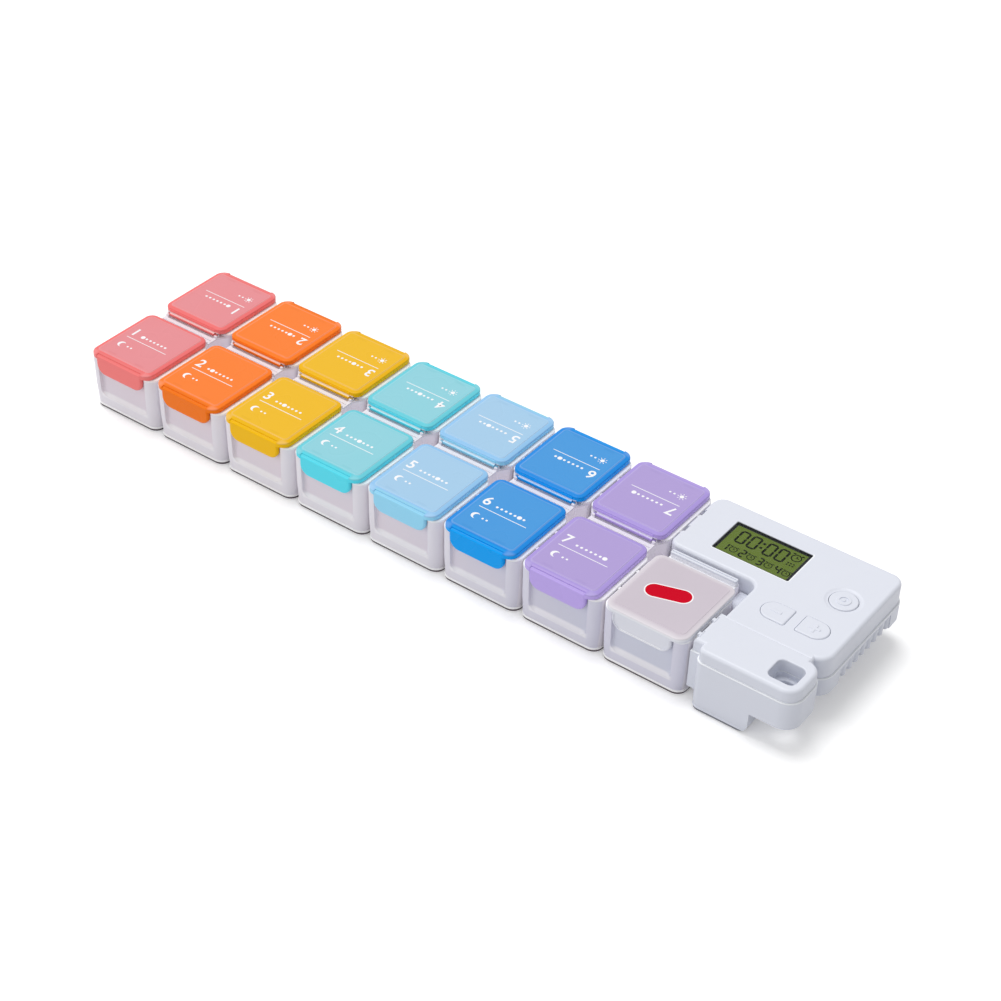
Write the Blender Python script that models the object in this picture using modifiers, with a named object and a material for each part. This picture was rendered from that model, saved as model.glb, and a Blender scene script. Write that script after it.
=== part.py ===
"""Weekly pill box: seven lift-off day trays, a spare tray and an alarm timer at one end.

The length runs along X, the front row of compartments faces -Y and Z is up.
The origin lies at the middle of the footprint, on the surface that the box stands on.
"""
import math

import bmesh
import bpy
from mathutils import Matrix, Vector

MM = 0.001

# Height over the lids
OVERALL_HEIGHT = 25.0 * MM

# Clearances
REST_GAP = 0.3 * MM
SLIDE_GAP = 0.3 * MM
PIN_GAP = 0.15 * MM
TRAY_GAP = 0.6 * MM
OVERRUN = 1.0 * MM
EMBED = 0.4 * MM

# Day trays
DAYS = 7
DAY_PITCH = 32.74 * MM
TRAY_CORNER = 4.0 * MM
TRAY_DRAFT = 0.6 * MM
SIDE_WALL = 2.6 * MM
FRONT_WALL = 2.4 * MM
FLOOR = 1.6 * MM
SCOOP_RADIUS = 3.0 * MM
POCKET_CORNER = 3.5 * MM
POCKET_INNER_Y = 6.6 * MM
POCKET_DEPTH = 26.4 * MM
INNER_WALL = 1.2 * MM
WAIST_INSET = 3.2 * MM
WAIST_NARROW = 2.6 * MM
WAIST_WIDE = 7.0 * MM
WAIST_RADIUS = 3.0 * MM
CORE_ROOF = 2.8 * MM
CORE_END_WALL = 1.4 * MM
STRIP_DROP = 1.2 * MM
RECESS_DEPTH = 1.0 * MM
RECESS_SIDE_GAP = 0.4 * MM
RECESS_BOTTOM_Z = 5.0 * MM
RECESS_SLOPE = 1.6 * MM
RECESS_CORNER = 3.0 * MM

# Tongues and slots that hold neighbouring trays together
TONGUE_YS = (13.3 * MM, 24.1 * MM)
TONGUE_NECK = 1.4 * MM
TONGUE_HEAD = 3.0 * MM
TONGUE_HEAD_THICKNESS = 0.5 * MM
TONGUE_TOP_DROP = 0.6 * MM
TONGUE_BOTTOM_Z = 1.5 * MM
SLOT_LIP = 0.7 * MM

# Lids
LID_SIDE = 1.82 * MM
LID_INNER_LAP = 2.0 * MM
LID_OVERHANG = 1.1 * MM
LID_CORNER = 4.0 * MM
LID_PLATE = 1.0 * MM
LID_RING_HEIGHT = 1.1 * MM
LID_RING_WIDTH = 1.7 * MM
LID_RING_INSET = 0.4 * MM
TAB_SIDE = 3.05 * MM
TAB_THICKNESS = 1.1 * MM
TAB_SETBACK = 0.6 * MM
TAB_HEIGHT = 7.5 * MM
TAB_CORNER = 4.0 * MM
TAB_STEP_SIDE = 0.8 * MM
TAB_STEP_DEPTH = 1.3 * MM
TAB_STEP_DROP = 0.45 * MM
LATCH_RIB_LENGTH = 4.3 * MM
LATCH_RIB_THICKNESS = 0.8 * MM
LATCH_RIB_DEPTH = 1.2 * MM
LATCH_RIB_X = 6.7 * MM

# Lid hinges
HINGE_Y = 3.2 * MM
HINGE_DROP = 0.4 * MM
BARREL_RADIUS = 1.1 * MM
BARREL_SIDE = 3.05 * MM
PIN_RADIUS = 0.55 * MM
PIN_LENGTH = 1.2 * MM
LUG_LENGTH = 1.3 * MM

# Timer case
SEAM_RISE = 0.2 * MM
BLOCK_SEAM_RISE = 5.0 * MM
TIMER_BACK_CORNER = 3.0 * MM
TIMER_TOP_ROUND = 2.0 * MM
TIMER_WALL = 1.8 * MM
TIMER_TOP_WALL = 1.8 * MM
TIMER_SLOT_WALL = 2.9 * MM
TIMER_RIGHT_MARGIN = 6.62 * MM
TIMER_FRONT_Y = 3.0 * MM
TIMER_INNER_CORNER = 3.0 * MM
TIMER_LEFT_CORNER = 4.0 * MM
NECK_GAP = 1.86 * MM
RAIL_BACK_INSET = 21.0 * MM
RAIL_FRONT_INSET = 3.5 * MM
RAIL_TONGUE_INSETS = (16.0 * MM, 7.5 * MM)
BLOCK_GAP = 3.46 * MM
BLOCK_LEFT_CORNER = 3.0 * MM
BLOCK_CORNER = 6.0 * MM
BLOCK_DEPTH = 18.6 * MM
NOTCH_WIDTH = 0.6 * MM
NOTCH_DEPTH = 4.42 * MM
GROOVE_DEPTH = 0.3 * MM
FOOT_MARGIN = 4.1 * MM
FOOT_CORNER = 4.0 * MM
BLOCK_UNDERSIDE_Z = 9.0 * MM
BODY_FLOOR = 5.2 * MM
GRIP_FRONT_INSET = 10.3 * MM
GRIP_BACK_INSET = 9.5 * MM
GRIP_RISE = 1.8 * MM
DECK_WALL = 1.4 * MM
WELL_FLOOR = 1.8 * MM

# Key ring hole
KEY_HOLE = (9.3 * MM, 9.1 * MM)
KEY_HOLE_INSETS = (8.47 * MM, 8.65 * MM)
KEY_HOLE_CORNER = 2.2 * MM

# Display
DISPLAY_SIZE = (29.2 * MM, 17.1 * MM)
DISPLAY_MARGIN = 13.1 * MM
DISPLAY_SHIFT = 0.9 * MM
DISPLAY_CORNER = 0.6 * MM
FRAME_GAP = 0.25 * MM
FRAME_WALL = 0.6 * MM
FRAME_FLANGE = 1.4 * MM
FRAME_TOP_DROP = 0.2 * MM
WINDOW_DROP = 1.5 * MM
WINDOW_THICKNESS = 0.9 * MM
PANEL_THICKNESS = 1.3 * MM
CONNECTOR_WIDTH = 1.8 * MM

# Buttons
BUTTON_SIZE = (10.4 * MM, 9.0 * MM)
BUTTON_MARGIN = 7.3 * MM
BUTTON_SPACING = 3.5 * MM
LEFT_BUTTON_Y = -5.3 * MM
RIGHT_BUTTON_Y = -4.9 * MM
BUTTON_CORNER = 0.8 * MM
BUTTON_ROUND_SHARE = 0.98
ROUND_BUTTON_SHIFTS = (0.5 * MM, 6.55 * MM)
ROUND_BUTTON_RADIUS = 4.6 * MM
DISH_RADIUS = 6.0 * MM
DISH_DEPTH = 0.4 * MM
BUTTON_GAP = 0.3 * MM
BUTTON_FLANGE = 0.9 * MM
BUTTON_FLANGE_THICKNESS = 0.8 * MM
BUTTON_RISE = 0.3 * MM
BUTTON_TRAVEL = 0.5 * MM
BUTTON_EDGE = 0.3 * MM

# Circuit board and what sits on it
BOARD_THICKNESS = 1.2 * MM
BOARD_POST_HEIGHT = 1.5 * MM
BOARD_POST_RADIUS = 1.6 * MM
BOARD_SIDE_GAP = 0.5 * MM
BOARD_RIGHT_INSET = 7.62 * MM
BOARD_BACK_INSET = 7.0 * MM
BOARD_STEP_GAP = 1.9 * MM
BOARD_STEP_INSET = 5.6 * MM
BOARD_FRONT_GAP = 1.5 * MM
BOARD_CORNER = 1.0 * MM
SWITCH_SIZE = 6.0 * MM
SWITCH_BODY_HEIGHT = 2.4 * MM
PLUNGER_RADIUS = 1.7 * MM
PLUNGER_HEIGHT = 0.5 * MM
BUZZER_RADIUS = 4.5 * MM
BUZZER_HEIGHT = 3.0 * MM
BUZZER_PORT_RADIUS = 1.0 * MM
BUZZER_SHIFTS = (2.5 * MM, 4.9 * MM)

# Batteries, their contacts and the sliding cover
CELL_LENGTH = 44.5 * MM
CELL_RADIUS = 5.25 * MM
CELL_NUB_RADIUS = 1.9 * MM
CELL_NUB_LENGTH = 0.8 * MM
CELL_PITCH = 11.6 * MM
BAY_MARGIN = 0.5 * MM
BAY_SIDE_WALL = 2.2 * MM
BAY_END_ROOM = 2.6 * MM
CONTACT_THICKNESS = 0.4 * MM
CONTACT_WIDTH = 8.0 * MM
SPRING_TURNS = 3
SPRING_WIRE = 0.25 * MM
SPRING_RADIUS = 2.6 * MM
SPRING_TIP_RADIUS = 1.4 * MM
COVER_THICKNESS = 1.6 * MM
COVER_TONGUE = 0.8 * MM
COVER_TONGUE_THICKNESS = 0.5 * MM
COVER_BACK_DROP = 0.4 * MM
COVER_GRIP_RADIUS = 4.5 * MM
COVER_GRIP_DEPTH = 0.5 * MM

# Case screws
NECK_SCREW_SHIFTS = (7.4 * MM, 0.5 * MM)
RIGHT_SCREW_INSETS = (5.02 * MM, 5.5 * MM)
CORNER_SCREW_INSET = 6.3 * MM
BLOCK_SCREW_SHIFTS = (5.0 * MM, 5.7 * MM)
SCREW_HEAD_RADIUS = 1.6 * MM
SCREW_HEAD_HEIGHT = 1.2 * MM
SCREW_RADIUS = 0.7 * MM
SCREW_REACH = 3.0 * MM
SCREW_HOLE_GAP = 0.2 * MM
SCREW_SEAT = 3.0 * MM
BOSS_RADIUS = 2.3 * MM
TOP_BOSS_RADIUS = 1.7 * MM

# Facets on round shapes
CORNER_STEPS = 3
SMALL_CORNER_STEPS = 2
SMALL_RADIUS = 3.6 * MM
ROUND_SIDES = 16
PIN_SIDES = 8
HINGE_PIN_SIDES = 6
SPRING_SIDES = 6
LEVEL_TOLERANCE = 0.004 * MM
WELD_DISTANCE = 0.0005 * MM

# Trays and lids, worked out
TRAY_WIDTH = DAY_PITCH - TRAY_GAP
RIM_Z = OVERALL_HEIGHT - LID_PLATE - LID_RING_HEIGHT - REST_GAP
STRIP_Z = RIM_Z - STRIP_DROP
CORE_ROOF_Z = STRIP_Z - CORE_ROOF
POCKET_OUTER_Y = POCKET_INNER_Y + POCKET_DEPTH
TRAY_HALF_DEPTH = POCKET_OUTER_Y + FRONT_WALL
HALF_DEPTH = TRAY_HALF_DEPTH + LID_OVERHANG
HINGE_Z = RIM_Z - HINGE_DROP
LID_WIDTH = TRAY_WIDTH - 2 * LID_SIDE
LID_BACK_Y = POCKET_INNER_Y - LID_INNER_LAP
TAB_HALF_WIDTH = LID_WIDTH / 2 - TAB_SIDE
TAB_BOTTOM_Z = OVERALL_HEIGHT - LID_PLATE - TAB_HEIGHT
BARREL_HALF_LENGTH = LID_WIDTH / 2 - BARREL_SIDE

# Timer along X, from the last day tray's end
TIMER_NECK_X = DAY_PITCH + NECK_GAP
BLOCK_LEFT_X = DAY_PITCH + BLOCK_GAP
LEFT_BUTTON_X = TIMER_NECK_X + BUTTON_MARGIN + BUTTON_SIZE[0] / 2
RIGHT_BUTTON_X = LEFT_BUTTON_X + BUTTON_SIZE[0] + BUTTON_SPACING
TIMER_LENGTH = RIGHT_BUTTON_X + BUTTON_SIZE[0] / 2 + TIMER_RIGHT_MARGIN
NOTCH_X = TIMER_LENGTH - NOTCH_DEPTH
BAY_LEFT_X = TIMER_SLOT_WALL + BAY_SIDE_WALL
CELL_START_X = BAY_LEFT_X + BAY_END_ROOM / 2
BAY_RIGHT_X = CELL_START_X + CELL_LENGTH + BAY_END_ROOM
FOOT_RIGHT_X = BAY_RIGHT_X + FOOT_MARGIN
BOARD_LEFT_X = TIMER_SLOT_WALL + BOARD_SIDE_GAP
BOARD_RIGHT_X = TIMER_LENGTH - BOARD_RIGHT_INSET
BOARD_STEP_X = TIMER_NECK_X + TIMER_WALL + BOARD_STEP_GAP
OVERALL_LENGTH = DAYS * DAY_PITCH + TIMER_LENGTH
LEFT_X = -OVERALL_LENGTH / 2
TIMER_X = LEFT_X + DAYS * DAY_PITCH

# Timer along Y, from the middle of the box
BODY_MIDDLE_Y = (TIMER_FRONT_Y + HALF_DEPTH) / 2
BLOCK_BACK_Y = HALF_DEPTH - BLOCK_DEPTH
BODY_FRONT_Y = -BLOCK_BACK_Y + NOTCH_WIDTH
RAIL_BACK_Y = HALF_DEPTH - RAIL_BACK_INSET
RAIL_FRONT_Y = HALF_DEPTH - RAIL_FRONT_INSET
RAIL_TONGUE_YS = tuple(HALF_DEPTH - inset for inset in RAIL_TONGUE_INSETS)
CELL_ROW_Y = BODY_MIDDLE_Y
BAY_FRONT_Y = CELL_ROW_Y - CELL_PITCH / 2 - CELL_RADIUS - BAY_MARGIN
BAY_BACK_Y = CELL_ROW_Y + CELL_PITCH / 2 + CELL_RADIUS + BAY_MARGIN
BOARD_BACK_Y = HALF_DEPTH - BOARD_BACK_INSET
BOARD_STEP_Y = TIMER_FRONT_Y + BOARD_STEP_INSET
BOARD_FRONT_Y = BODY_FRONT_Y + TIMER_WALL + BOARD_FRONT_GAP

# Timer heights, from the battery cover up to the top
CELL_Z = COVER_THICKNESS + SLIDE_GAP + REST_GAP + CELL_RADIUS
BAY_ROOF_Z = CELL_Z + CELL_RADIUS + BAY_MARGIN
DECK_Z = BAY_ROOF_Z + DECK_WALL
TIMER_SEAM_Z = DECK_Z + SEAM_RISE
BLOCK_SEAM_Z = TIMER_SEAM_Z + BLOCK_SEAM_RISE
BODY_UNDERSIDE_Z = DECK_Z - BODY_FLOOR
TOP_CASE_Z = TIMER_SEAM_Z + REST_GAP
BOARD_Z = DECK_Z + BOARD_POST_HEIGHT + REST_GAP
BOARD_TOP_Z = BOARD_Z + BOARD_THICKNESS
SWITCH_Z = BOARD_TOP_Z + REST_GAP
SWITCH_TOP_Z = SWITCH_Z + SWITCH_BODY_HEIGHT + PLUNGER_HEIGHT
FLANGE_TOP_Z = SWITCH_TOP_Z + BUTTON_TRAVEL + REST_GAP + BUTTON_FLANGE_THICKNESS
TIMER_CEILING_Z = FLANGE_TOP_Z + REST_GAP
TIMER_HEIGHT = TIMER_CEILING_Z + TIMER_TOP_WALL

# Places of the timer's pieces
KEY_HOLE_CENTRE = (TIMER_LENGTH - KEY_HOLE_INSETS[0], -HALF_DEPTH + KEY_HOLE_INSETS[1])
DISPLAY_CENTRE = (DISPLAY_MARGIN + DISPLAY_SIZE[0] / 2, BODY_MIDDLE_Y - DISPLAY_SHIFT)
LEFT_BUTTON_CENTRE = (LEFT_BUTTON_X, LEFT_BUTTON_Y)
RIGHT_BUTTON_CENTRE = (RIGHT_BUTTON_X, RIGHT_BUTTON_Y)
ROUND_BUTTON_CENTRE = (RIGHT_BUTTON_X + ROUND_BUTTON_SHIFTS[0], BODY_MIDDLE_Y - ROUND_BUTTON_SHIFTS[1])
BUZZER_CENTRE = (ROUND_BUTTON_CENTRE[0] - BUZZER_SHIFTS[0], BOARD_BACK_Y - BUZZER_SHIFTS[1])
NECK_SCREW = (TIMER_NECK_X + NECK_SCREW_SHIFTS[0], TIMER_FRONT_Y - NECK_SCREW_SHIFTS[1])
SCREW_PLACES = (
    NECK_SCREW,
    (TIMER_LENGTH - RIGHT_SCREW_INSETS[0], HALF_DEPTH - RIGHT_SCREW_INSETS[1]),
    (TIMER_LENGTH - RIGHT_SCREW_INSETS[0], BODY_FRONT_Y + CORNER_SCREW_INSET),
    (BLOCK_LEFT_X + BLOCK_SCREW_SHIFTS[0], -HALF_DEPTH + BLOCK_SCREW_SHIFTS[1]),
)

LID_COLOURS = (
    ("coral", (0.86, 0.24, 0.25)),
    ("orange", (0.95, 0.33, 0.06)),
    ("yellow", (0.86, 0.56, 0.03)),
    ("aqua", (0.22, 0.66, 0.74)),
    ("sky", (0.30, 0.60, 0.86)),
    ("blue", (0.06, 0.33, 0.79)),
    ("lavender", (0.46, 0.35, 0.72)),
)


def clear_scene():
    for item in list(bpy.data.objects):
        bpy.data.objects.remove(item, do_unlink=True)


def new_collection(name):
    collection = bpy.data.collections.new(name)
    bpy.context.scene.collection.children.link(collection)
    return collection


def material(name, colour, roughness=0.4, metallic=0.0, alpha=1.0):
    """Principled material with the part's colour."""
    shader = bpy.data.materials.get(name)
    if shader is None:
        shader = bpy.data.materials.new(name)
        shader.use_nodes = True
        principled = shader.node_tree.nodes["Principled BSDF"]
        principled.inputs["Base Color"].default_value = (*colour, 1.0)
        principled.inputs["Roughness"].default_value = roughness
        principled.inputs["Metallic"].default_value = metallic
        principled.inputs["Alpha"].default_value = alpha
    return shader


def fillet_outline(corners, steps=CORNER_STEPS, small_steps=SMALL_CORNER_STEPS):
    """Outline through (x, y, radius) corners, each rounded by an arc of its radius."""
    points = []
    for index, (x, y, radius) in enumerate(corners):
        here = Vector((x, y))
        if radius == 0:
            points.append(here)
            continue
        before = (Vector(corners[index - 1][:2]) - here).normalized()
        after = (Vector(corners[(index + 1) % len(corners)][:2]) - here).normalized()
        half = before.angle(after) / 2
        centre = here + (before + after).normalized() * (radius / math.sin(half))
        start = here + before * (radius / math.tan(half)) - centre
        end = here + after * (radius / math.tan(half)) - centre
        turn = start.angle_signed(end)
        facets = steps if radius > SMALL_RADIUS else min(steps, small_steps)
        for step in range(facets + 1):
            points.append(centre + Matrix.Rotation(-turn * step / facets, 2) @ start)
    return points


def rounded_rectangle(x_low, x_high, y_low, y_high, radius, steps=CORNER_STEPS):
    corners = ((x_low, y_low), (x_high, y_low), (x_high, y_high), (x_low, y_high))
    return fillet_outline([(x, y, radius) for x, y in corners], steps)


def circle_outline(centre, radius, sides=ROUND_SIDES):
    steps = [2 * math.pi * index / sides for index in range(sides)]
    return [Vector((centre[0] + radius * math.cos(a), centre[1] + radius * math.sin(a))) for a in steps]


def evaluated_mesh(item):
    return bpy.data.meshes.new_from_object(item.evaluated_get(bpy.context.evaluated_depsgraph_get()))


def merge_flat_faces(mesh):
    """Weld the mesh and join its coplanar faces."""
    work = bmesh.new()
    work.from_mesh(mesh)
    bmesh.ops.remove_doubles(work, verts=work.verts, dist=WELD_DISTANCE)
    bmesh.ops.dissolve_limit(
        work, angle_limit=math.radians(0.2), verts=work.verts, edges=work.edges, delimit=set()
    )
    bmesh.ops.recalc_face_normals(work, faces=work.faces)
    work.to_mesh(mesh)
    work.free()


def raw_object(name, mesh):
    item = bpy.data.objects.new(name, mesh)
    WORKSHOP.objects.link(item)
    return item


def prism(name, outline, z_low, z_high):
    """Upright prism with the outline as its section."""
    curve = bpy.data.curves.new(name, "CURVE")
    curve.dimensions = "2D"
    curve.fill_mode = "BOTH"
    curve.extrude = (z_high - z_low) / 2
    spline = curve.splines.new("POLY")
    spline.points.add(len(outline) - 1)
    for point, place in zip(spline.points, outline):
        point.co = (place[0], place[1], 0, 1)
    spline.use_cyclic_u = True
    drawn = bpy.data.objects.new(name, curve)
    WORKSHOP.objects.link(drawn)
    mesh = evaluated_mesh(drawn)
    bpy.data.objects.remove(drawn)
    bpy.data.curves.remove(curve)
    mesh.transform(Matrix.Translation((0, 0, (z_low + z_high) / 2)))
    merge_flat_faces(mesh)
    return raw_object(name, mesh)


def rounded_prism(name, outline_at, z_low, z_high, radius, steps):
    """Upright prism whose top edge is rounded; outline_at(inset) gives its section."""
    levels = [(0.0, z_low)]
    for step in range(steps + 1):
        angle = math.pi / 2 * step / steps
        levels.append((radius * (1 - math.cos(angle)), z_high - radius * (1 - math.sin(angle))))
    rings = [[(x, y, z) for x, y in outline_at(inset)] for inset, z in levels]
    count = len(rings[0])
    faces = [list(range(count))[::-1], [len(levels) * count - count + index for index in range(count)]]
    for ring in range(len(levels) - 1):
        for index in range(count):
            after = (index + 1) % count
            low, high = ring * count, (ring + 1) * count
            faces.append((low + index, low + after, high + after, high + index))
    mesh = bpy.data.meshes.new(name)
    mesh.from_pydata([point for ring in rings for point in ring], [], faces)
    merge_flat_faces(mesh)
    return raw_object(name, mesh)


def side_prism(name, outline, y_low, y_high):
    """Prism along Y whose outline is given in X and Z."""
    item = prism(name, outline, -y_high, -y_low)
    item.data.transform(Matrix.Rotation(math.radians(90), 4, "X"))
    return item


def end_prism(name, outline, x_low, x_high):
    """Prism along X whose outline is given in Y and Z."""
    item = prism(name, outline, x_low, x_high)
    item.data.transform(Matrix(((0, 0, 1, 0), (1, 0, 0, 0), (0, 1, 0, 0), (0, 0, 0, 1))))
    return item


def box(name, x_low, x_high, y_low, y_high, z_low, z_high):
    work = bmesh.new()
    size = Matrix.Diagonal((x_high - x_low, y_high - y_low, z_high - z_low, 1))
    middle = ((x_low + x_high) / 2, (y_low + y_high) / 2, (z_low + z_high) / 2)
    bmesh.ops.create_cube(work, size=1, matrix=Matrix.Translation(middle) @ size)
    mesh = bpy.data.meshes.new(name)
    work.to_mesh(mesh)
    work.free()
    return raw_object(name, mesh)


def cylinder(name, centre, radius, z_low, z_high, sides=ROUND_SIDES, top_radius=None):
    work = bmesh.new()
    place = Matrix.Translation((centre[0], centre[1], (z_low + z_high) / 2))
    bmesh.ops.create_cone(
        work, cap_ends=True, segments=sides, radius1=radius,
        radius2=radius if top_radius is None else top_radius, depth=z_high - z_low, matrix=place,
    )
    mesh = bpy.data.meshes.new(name)
    work.to_mesh(mesh)
    work.free()
    return raw_object(name, mesh)


def lying_cylinder(name, y, z, radius, x_low, x_high, sides=PIN_SIDES):
    """Cylinder along X."""
    item = cylinder(name, (0, 0), radius, x_low, x_high, sides)
    turn = Matrix.Rotation(math.radians(90), 4, "Y")
    item.data.transform(Matrix.Translation((0, y, z)) @ turn)
    return item


def combine(body, tool, operation):
    modifier = body.modifiers.new(operation.title(), "BOOLEAN")
    modifier.operation = operation
    modifier.solver = "EXACT"
    modifier.object = tool
    result = evaluated_mesh(body)
    body.modifiers.clear()
    body.data = result
    bpy.data.objects.remove(tool)


def cut(body, *tools):
    for tool in tools:
        combine(body, tool, "DIFFERENCE")
    return body


def fuse(body, *tools):
    for tool in tools:
        combine(body, tool, "UNION")
    return body


def round_level_edges(body, level, width, segments=2):
    """Round the edges where the flat face at one height meets the walls."""
    work = bmesh.new()
    work.from_mesh(body.data)
    edges = []
    for edge in work.edges:
        heights = [abs(vertex.co.z - level) < LEVEL_TOLERANCE for vertex in edge.verts]
        slopes = sorted(abs(face.normal.z) for face in edge.link_faces)
        if all(heights) and slopes[0] < 0.5 < slopes[-1]:
            edges.append(edge)
    bmesh.ops.bevel(
        work, geom=edges, offset=width, offset_type="OFFSET", segments=segments, profile=0.5,
        affect="EDGES", clamp_overlap=True,
    )
    work.to_mesh(body.data)
    work.free()
    return body


def taper_depth(body, level, factor):
    """Draw the vertices at or under one height in towards Y = 0."""
    for vertex in body.data.vertices:
        if vertex.co.z < level:
            vertex.co.y *= factor
    return body


def finish(item, name, colour, place=(0, 0, 0), turn=0.0):
    """Name the solid, colour it, put it in its place and file it with the parts."""
    merge_flat_faces(item.data)
    item.data.shade_smooth()
    item.data.set_sharp_from_angle(angle=math.radians(35))
    item.name = name
    item.data.name = name
    item.data.materials.clear()
    item.data.materials.append(colour)
    item.location = place
    item.rotation_euler.z = turn
    WORKSHOP.objects.unlink(item)
    PARTS.objects.link(item)
    return item


def copy_part(source, name, colour, place, turn=0.0):
    """Another piece with the same mesh and its own colour."""
    item = bpy.data.objects.new(name, source.data)
    item.location = place
    item.rotation_euler.z = turn
    PARTS.objects.link(item)
    item.material_slots[0].link = "OBJECT"
    item.material_slots[0].material = colour
    return item


def tongue(x_face, y, z_low, z_high):
    """T-shaped tongue that stands out of a right-hand wall."""
    head_x = x_face + TRAY_GAP + SLOT_LIP + SLIDE_GAP
    tip_x = head_x + TONGUE_HEAD_THICKNESS
    neck, head = TONGUE_NECK / 2, TONGUE_HEAD / 2
    outline = [
        (x_face - EMBED, y - neck), (head_x, y - neck), (head_x, y - head), (tip_x, y - head),
        (tip_x, y + head), (head_x, y + head), (head_x, y + neck), (x_face - EMBED, y + neck),
    ]
    return prism("tongue", outline, z_low, z_high)


def slot(x_face, y, z_low, z_high):
    """T-shaped slot in a left-hand wall, round a neighbour's tongue."""
    lip_x = x_face + SLOT_LIP
    end_x = lip_x + 2 * SLIDE_GAP + TONGUE_HEAD_THICKNESS
    neck, head = TONGUE_NECK / 2 + SLIDE_GAP, TONGUE_HEAD / 2 + SLIDE_GAP
    outline = [
        (x_face - OVERRUN, y - neck), (lip_x, y - neck), (lip_x, y - head), (end_x, y - head),
        (end_x, y + head), (lip_x, y + head), (lip_x, y + neck), (x_face - OVERRUN, y + neck),
    ]
    return prism("slot", outline, z_low, z_high)


def tray_outline(back_row):
    """Plan of a tray: two rows meeting at a waist, or the front row with its hinge strip."""
    depth, width = TRAY_HALF_DEPTH, TRAY_WIDTH
    front = [
        (0, -depth, TRAY_CORNER), (width, -depth, TRAY_CORNER),
        (width, -WAIST_WIDE, WAIST_RADIUS), (width - WAIST_INSET, -WAIST_NARROW, WAIST_RADIUS / 2),
    ]
    if back_row:
        right = front + [(x, -y, radius) for x, y, radius in front[:1:-1]]
        return fillet_outline(right + [(width - x, -y, radius) for x, y, radius in right])
    strip_back = TIMER_FRONT_Y - TRAY_GAP
    back = [
        (width - WAIST_INSET, strip_back, 0), (WAIST_INSET, strip_back, 0),
        (WAIST_INSET, -WAIST_NARROW, WAIST_RADIUS / 2), (0, -WAIST_WIDE, WAIST_RADIUS),
    ]
    return fillet_outline(front + back)


def pocket_cutter(side):
    """Room for the pills, with a scooped floor."""
    y_low, y_high = sorted((side * POCKET_INNER_Y, side * POCKET_OUTER_Y))
    outline = rounded_rectangle(
        SIDE_WALL, TRAY_WIDTH - SIDE_WALL, y_low, y_high, POCKET_CORNER, SMALL_CORNER_STEPS,
    )
    return round_level_edges(prism("pocket", outline, FLOOR, RIM_Z + OVERRUN), FLOOR, SCOOP_RADIUS)


def recess_cutter(side):
    """Finger recess behind the lid's tab, sloping out at its foot."""
    middle = TRAY_WIDTH / 2
    half = TAB_HALF_WIDTH + RECESS_SIDE_GAP
    corners = [
        (middle - half, RECESS_BOTTOM_Z, RECESS_CORNER), (middle + half, RECESS_BOTTOM_Z, RECESS_CORNER),
        (middle + half, RIM_Z + OVERRUN, 0), (middle - half, RIM_Z + OVERRUN, 0),
    ]
    outer, inner = TRAY_HALF_DEPTH + OVERRUN, TRAY_HALF_DEPTH - RECESS_DEPTH
    outline = fillet_outline(corners, SMALL_CORNER_STEPS)
    item = side_prism("recess", outline, *sorted((side * outer, side * inner)))
    for vertex in item.data.vertices:
        low_share = 1 - min(1, (vertex.co.z - RECESS_BOTTOM_Z) / RECESS_CORNER)
        if abs(vertex.co.y - side * inner) < EMBED and low_share > 0:
            vertex.co.z += RECESS_SLOPE * low_share
    return item


def hinge_lug(x_low, x_high, side):
    """Rounded ear that holds one end of a lid's hinge pin."""
    arc = [
        (side * HINGE_Y + BARREL_RADIUS * math.cos(2 * math.pi * step / PIN_SIDES),
         HINGE_Z + BARREL_RADIUS * math.sin(2 * math.pi * step / PIN_SIDES))
        for step in range(PIN_SIDES // 2 + 1)
    ]
    foot_z = STRIP_Z - EMBED
    foot = [(side * HINGE_Y - BARREL_RADIUS, foot_z), (side * HINGE_Y + BARREL_RADIUS, foot_z)]
    return end_prism("lug", arc + foot, x_low, x_high)


def add_hinge_seat(body, side):
    """Channel for the lid's barrel, the two ears at its ends and their pin holes."""
    middle = TRAY_WIDTH / 2
    inner_y, outer_y = HINGE_Y - BARREL_RADIUS - SLIDE_GAP, POCKET_INNER_Y - INNER_WALL
    channel_z = HINGE_Z - BARREL_RADIUS - SLIDE_GAP
    reach = BARREL_HALF_LENGTH + SLIDE_GAP
    y_low, y_high = sorted((side * inner_y, side * outer_y))
    cut(body, box("channel", middle - reach, middle + reach, y_low, y_high, channel_z, RIM_Z + OVERRUN))
    for end in (-1, 1):
        x_low, x_high = sorted((middle + end * reach, middle + end * (reach + LUG_LENGTH)))
        fuse(body, hinge_lug(x_low, x_high, side))
        cut(body, lying_cylinder(
            "pin hole", side * HINGE_Y, HINGE_Z, PIN_RADIUS + PIN_GAP, x_low - EMBED, x_high + EMBED,
            HINGE_PIN_SIDES,
        ))


def tray_body(back_row):
    """One frosted tray, with a front compartment and, on day trays, a back one."""
    body = prism("tray", tray_outline(back_row), 0, RIM_Z)
    taper_depth(body, RIM_Z / 2, 1 - TRAY_DRAFT / TRAY_HALF_DEPTH)
    sides = (-1, 1) if back_row else (-1,)
    strip_edge = POCKET_INNER_Y - INNER_WALL
    cut(body, box("strip", -OVERRUN, TRAY_WIDTH + OVERRUN, -strip_edge,
                  strip_edge, STRIP_Z, RIM_Z + OVERRUN))
    for side in sides:
        cut(body, pocket_cutter(side), recess_cutter(side))
        add_hinge_seat(body, side)
    core_x = WAIST_INSET + CORE_END_WALL
    core_back = strip_edge if back_row else TIMER_FRONT_Y - TRAY_GAP - INNER_WALL
    cut(body, box("core", core_x, TRAY_WIDTH - core_x, -strip_edge, core_back, -OVERRUN, CORE_ROOF_Z))
    add_tray_joints(body, back_row)
    return body


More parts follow.
